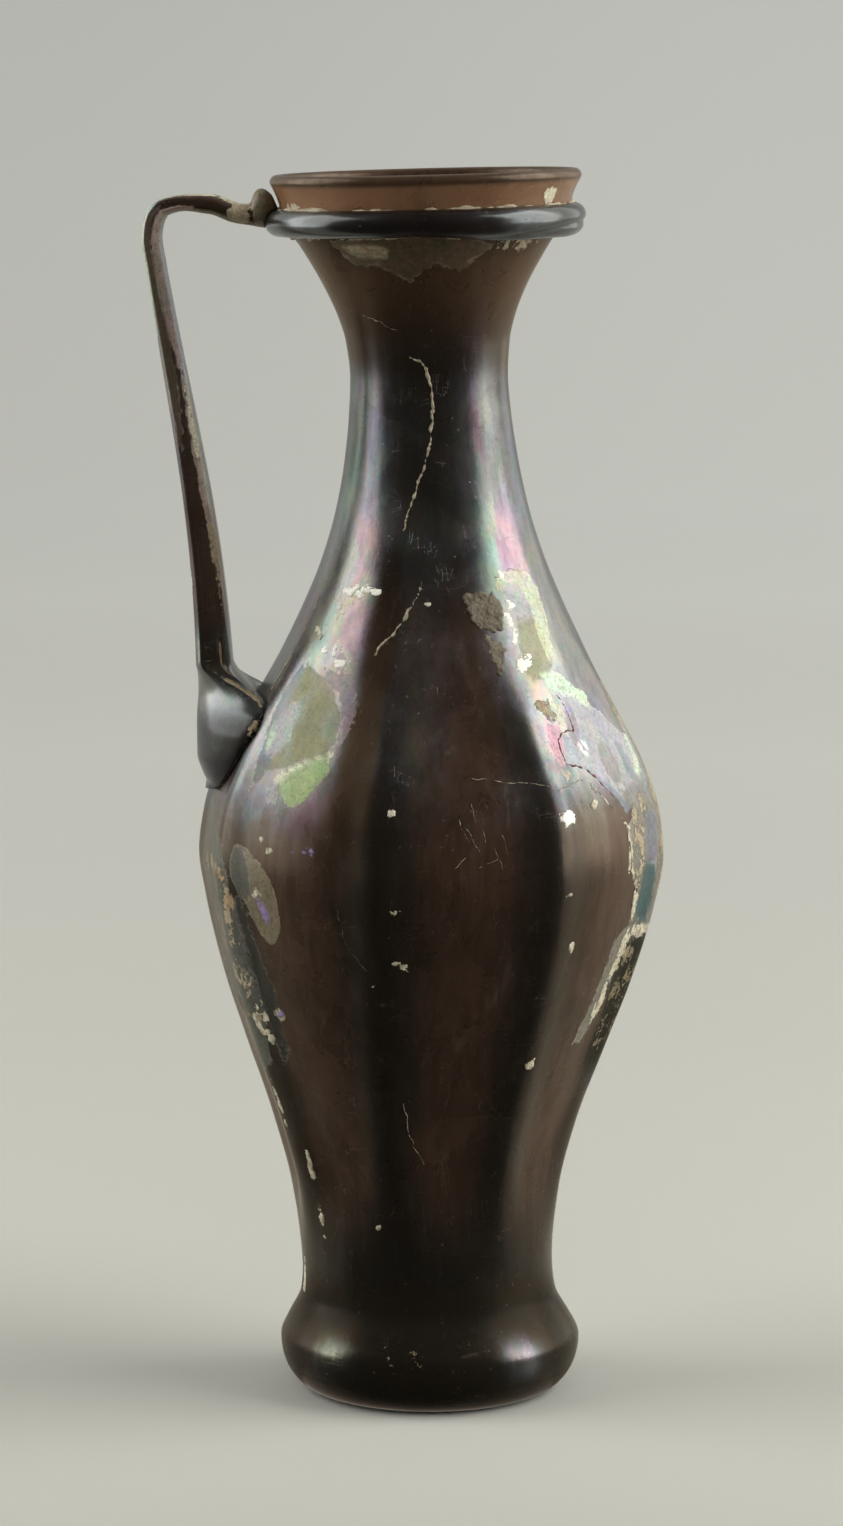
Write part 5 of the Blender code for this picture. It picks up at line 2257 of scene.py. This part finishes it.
    # Neck below the trail, and mouth
    Film(Cover.FILM, Tint.UMBER, (
        (-45, 227), (-19, 228), (16, 228), (31, 226), (17, 221.5), (5, 223), (-8, 219.5), (-20, 222),
        (-37, 223))),
    Film(Cover.FILM, Tint.SAND, (
        (-43, 226.5), (-28, 227), (-16, 226), (-18, 223.5), (-35, 224)), 0.66, 3.0),
    Patch(Cover.CRUST, Tint.BEIGE, 44.0, 226.0, 8.0, 1.8, 0.0, 0.56),
    Patch(Cover.CRUST, Tint.CREAM, 55.5, 235.0, 2.3, 1.9, 0.0, 0.80),
    Patch(Cover.CRUST, Tint.CREAM, -64.5, 233.5, 5.0, 1.2, 0.0, 0.60),
    # Foot
    Patch(Cover.HUE, Tint.GREY_GLOSS, 0.0, 8.0, 60.0, 26.0),
    Patch(Cover.HUE, Tint.STRAW_GLOSS, -41.0, 12.0, 6.0, 4.0),
    Patch(Cover.HUE, Tint.MAGENTA_GLOSS, 38.0, 12.5, 5.0, 4.0, 0.0, 0.45),
    Patch(Cover.FILM, Tint.STRAW, -42.0, 12.0, 4.6, 3.6, 0.0, 0.32),
    Patch(Cover.FILM, Tint.PINK, 39.0, 12.5, 4.6, 3.6, 0.0, 0.33),
    Patch(Cover.CRUST, Tint.SAND, -10.0, 12.0, 5.5, 3.2, 0.0, 0.32),
    # Back, guessed in keeping with the sides
    Film(Cover.FILM, Tint.ASH, (
        (112, 146), (138, 142), (146, 124), (140, 104), (124, 98), (104, 128)), 0.62),
    Patch(Cover.CRUST, Tint.BEIGE, 122.0, 118.0, 6.0, 15.0, 8.0, 0.50),
    Patch(Cover.FILM, Tint.OLIVE, 158.0, 146.0, 7.0, 6.0, 20.0, 0.60),
    Patch(Cover.FILM, Tint.LILAC, -168.0, 132.0, 6.0, 9.0, -10.0, 0.55),
    Patch(Cover.CRUST, Tint.BEIGE, -150.0, 92.0, 7.0, 13.0, -14.0, 0.50),
    Patch(Cover.FILM, Tint.EARTH, 172.0, 84.0, 8.0, 12.0, 0.0, 0.58),
]

HANDLE_PATCHES: list[Patch | Film] = [
    Patch(Cover.FILM, Tint.EARTH, 180.0, 1.5, 14.0, 3.4, 0.0, 0.85, 4.0),
    Patch(Cover.CRUST, Tint.BEIGE, 185.0, 7.5, 7.0, 2.6, 0.0, 0.62, 4.0),
    Patch(Cover.CRUST, Tint.CREAM, 100.0, 13.0, 2.8, 9.0, 0.0, 0.68, 4.0),
    Patch(Cover.FILM, Tint.UMBER, 165.0, 46.0, 1.6, 26.0, 0.0, 0.80, 4.0),
    Patch(Cover.FILM, Tint.MINT, 122.0, 34.0, 1.6, 16.0, 0.0, 0.95, 4.0),
    Patch(Cover.FILM, Tint.DUST, 210.0, 36.0, 2.2, 20.0, 0.0, 0.95, 4.0),
    Patch(Cover.FILM, Tint.LILAC, 240.0, 40.0, 1.2, 20.0, 0.0, 0.85, 4.0),
    Patch(Cover.FILM, Tint.DUST, 212.0, 72.0, 1.8, 20.0, 0.0, 0.62, 4.0),
    Patch(Cover.FILM, Tint.ORANGE, 200.0, 111.5, 0.5, 3.5, 0.0, 0.90, 8.0),
    Patch(Cover.CRUST, Tint.CREAM, 214.0, 66.0, 1.6, 10.0, 0.0, 0.66, 4.0),
    Patch(Cover.CRUST, Tint.WHITE, 112.0, 96.0, 1.6, 2.8, 0.0, 0.95, 4.0),
    Patch(Cover.CRUST, Tint.SAND, 216.0, 90.0, 1.4, 12.0, 0.0, 0.62, 4.0),
    Patch(Cover.HUE, Tint.GREY_GLOSS, 180.0, 118.0, 40.0, 12.0, 0.0, 1.0, 8.0),
    Patch(Cover.CRUST, Tint.SAND, 176.0, 118.0, 1.6, 6.0, 0.0, 0.56, 8.0),
    Patch(Cover.CRUST, Tint.SAND, 176.0, 124.0, 3.0, 3.5, 0.0, 0.52, 8.0),
]

WHITE_FLAKES: list[Island | Plate] = [
    Island(-45, 160, 1.5, 0.8, 10), Island(-41, 160, 1.3, 0.7, -25), Island(-37, 159.5, 1.3, 0.6, 20),
    Island(-33, 160.5, 1.4, 0.7, -10), Island(-28, 160, 0.9, 0.5), Island(-46, 148.5, 0.9, 0.6, 30),
    Island(-37, 146.5, 1.0, 0.6), Island(-41, 149, 0.6, 0.9), Island(36, 157.5, 0.8, 1.2, 10),
    Island(33, 155, 0.9, 1.4, -15), Island(34, 151.5, 0.6, 1.6, 15), Island(35, 146.5, 1.3, 1.8, 20),
    Island(36, 118.5, 1.9, 0.8, 15, 0.16), Island(36, 118.5, 0.7, 1.9, 25, 0.16), Island(34.5, 163, 0.7, 0.9),
]

BEIGE_FLAKES: list[Island | Plate] = [
    Island(-54, 152, 1.4, 0.6, 30), Island(-29, 148.5, 0.6, 0.4), Island(-45, 111.5, 1.1, 0.5),
    Island(-8, 102, 0.9, 0.6, -20), Island(-7, 91, 1.5, 0.7, 25), Island(-10, 120.5, 0.9, 0.7),
    Island(-14, 87.5, 0.8, 0.7), Island(40, 93, 0.8, 1.0), Island(35, 104, 1.0, 0.4, 10),
    Island(34, 70, 0.9, 1.0, -20), Island(-21, 37, 0.6, 0.5), Island(-3, 158, 0.6, 0.5),
    Island(61, 110, 0.4, 3.4, 6), Island(67, 98.5, 0.5, 3.0, -14), Island(62.5, 80, 0.5, 3.0, 6),
    Island(47.5, 120, 1.1, 0.5, -35), Island(-57.5, 76.5, 0.9, 1.6, -20), Island(-55, 73.5, 0.8, 1.0),
    Island(-49.5, 103, 0.8, 0.7), Island(-77, 23, 0.8, 3.2), Island(-54, 48, 0.5, 3.0, -6),
    Island(-52, 37, 0.5, 3.0, -4), Island(-61, 60, 0.4, 4.0, -2), Island(-48, 113.5, 0.5, 0.5),
    Island(73.5, 93, 1.6, 1.0),
]

VIOLET_FLAKES: list[Island | Plate] = [
    Island(-38, 112, 0.9, 0.6), Island(-33.5, 112, 0.5, 0.3), Island(-31.5, 112.5, 0.8, 0.6, 30),
    Island(-48.5, 79, 0.9, 0.6),
]

OLIVE_SHEETS: list[Island | Plate] = [
    Plate((
        (13, 159.5), (20, 160.5), (28, 160), (32, 157), (30, 153.5), (25, 152.5), (20, 153), (14, 156.5))),
    Plate(((20, 153), (23, 151.5), (28, 151), (27, 146.5), (24, 144.5), (22, 148)), 0.25),
]

CRACKS: list[Crack] = [
    Crack(((-13, 204.5), (-4, 203), (2, 196), (0, 189), (-8, 181), (-15, 174.5), (-17, 171.5)), 0.24),
    Crack(((-6, 161), (-12, 156), (-16, 153), (-20, 151), (-23, 148.5)), 0.30),
    Crack(((-44, 212.5), (-30, 211), (-21, 209.5)), 0.10),
    Crack(((11, 126.5), (20, 125.5), (28, 125), (35, 124), (46, 125)), 0.09),
    Crack(((-64, 158.5), (-66, 151), (-68, 145), (-74, 139)), 0.20),
    Crack(((7, 119), (9, 115.5)), 0.05, 0.03), Crack(((9, 117.5), (12, 113)), 0.05, 0.03),
    Crack(((13, 117), (13.5, 114)), 0.06, 0.03), Crack(((16, 113.5), (18, 109.5)), 0.05, 0.03),
    Crack(((6, 110), (8.5, 112)), 0.05, 0.03), Crack(((12, 110), (17, 111.5)), 0.04, 0.03),
    Crack(((18, 116), (19.5, 112.5)), 0.05, 0.03), Crack(((10.5, 122), (11, 118.5)), 0.04, 0.03),
    Crack(((-7, 63), (-5, 56), (0, 50)), 0.07), Crack(((-24, 104), (-22, 96), (-16, 90)), 0.06),
]

RED_EDGES: list[Crack] = [
    Crack(((31, 162.5), (36, 163), (41, 164), (51, 163.5), (59.5, 164.5)), 0.08, 0.04),
    Crack((
        (46.5, 140.5), (49.5, 135.5), (49, 134), (43, 133.5), (40, 132), (40.5, 128.5), (47, 127),
        (54, 123.5),
        (58, 120.5)), 0.19, 0.05),
]


def main() -> None:
    """Builds every piece in order and reports each."""
    logging.basicConfig(level=logging.INFO, format="%(name)s: %(message)s")
    outline = Outline()
    BlownBody(outline).build(BODY_PATCHES, GlassFinish("dark_glass"))
    WoundTrail(outline).build([], GlassFinish(
        "trail_glass_finish", deep=(0.0050, 0.0037, 0.0036), glow=(0.024, 0.015, 0.011), transmission=0.05,
        sheen_low=62.0, sheen_high=76.0, roughness=0.19, pitting=0.8, plain_hue=(1.0, 0.99, 0.95),
        hues=((0.4, (0.97, 1.0, 0.94)), (0.6, (0.98, 0.97, 0.95)))))
    DrawnHandle(outline).build(HANDLE_PATCHES, GlassFinish(
        "handle_glass_finish", glow=(0.060, 0.034, 0.022), transmission=0.15, roughness=0.22))
    for name, pieces, tint, shade in (
        ("white_crust", WHITE_FLAKES, Tint.WHITE, Tint.WHITE),
        ("beige_crust", BEIGE_FLAKES, Tint.CREAM, Tint.SAND),
        ("violet_crust", VIOLET_FLAKES, Tint.VIOLET, Tint.LILAC),
        ("olive_crust", OLIVE_SHEETS, Tint.EARTH, Tint.UMBER),
    ):
        darkest = 0.85 if tint is shade else 0.45
        CrustField(outline, name).build(pieces, CrustFinish(name + "_finish", tint, shade, darkest))
    crack = CrustFinish("crack_crust_finish", Tint.BEIGE, darkest=0.40)
    CrackField(outline, "crack_crust").build(CRACKS, crack)
    red = CrustFinish("red_film_edge_finish", Tint.RUST, Tint.RUST)
    CrackField(outline, "red_film_edge").build(RED_EDGES, red)
    seam = CrustFinish("seam_crust_finish", Tint.BEIGE)
    SeamCrust(outline, "upper_seam_crust", 0.2329, seed=0.3).build(seam)
    SeamCrust(outline, "lower_seam_crust", 0.2278, seed=7.1, gaps=0.25).build(seam)
    Studio(outline).build(PaperFinish("paper"))


if __name__ == "__main__":
    main()
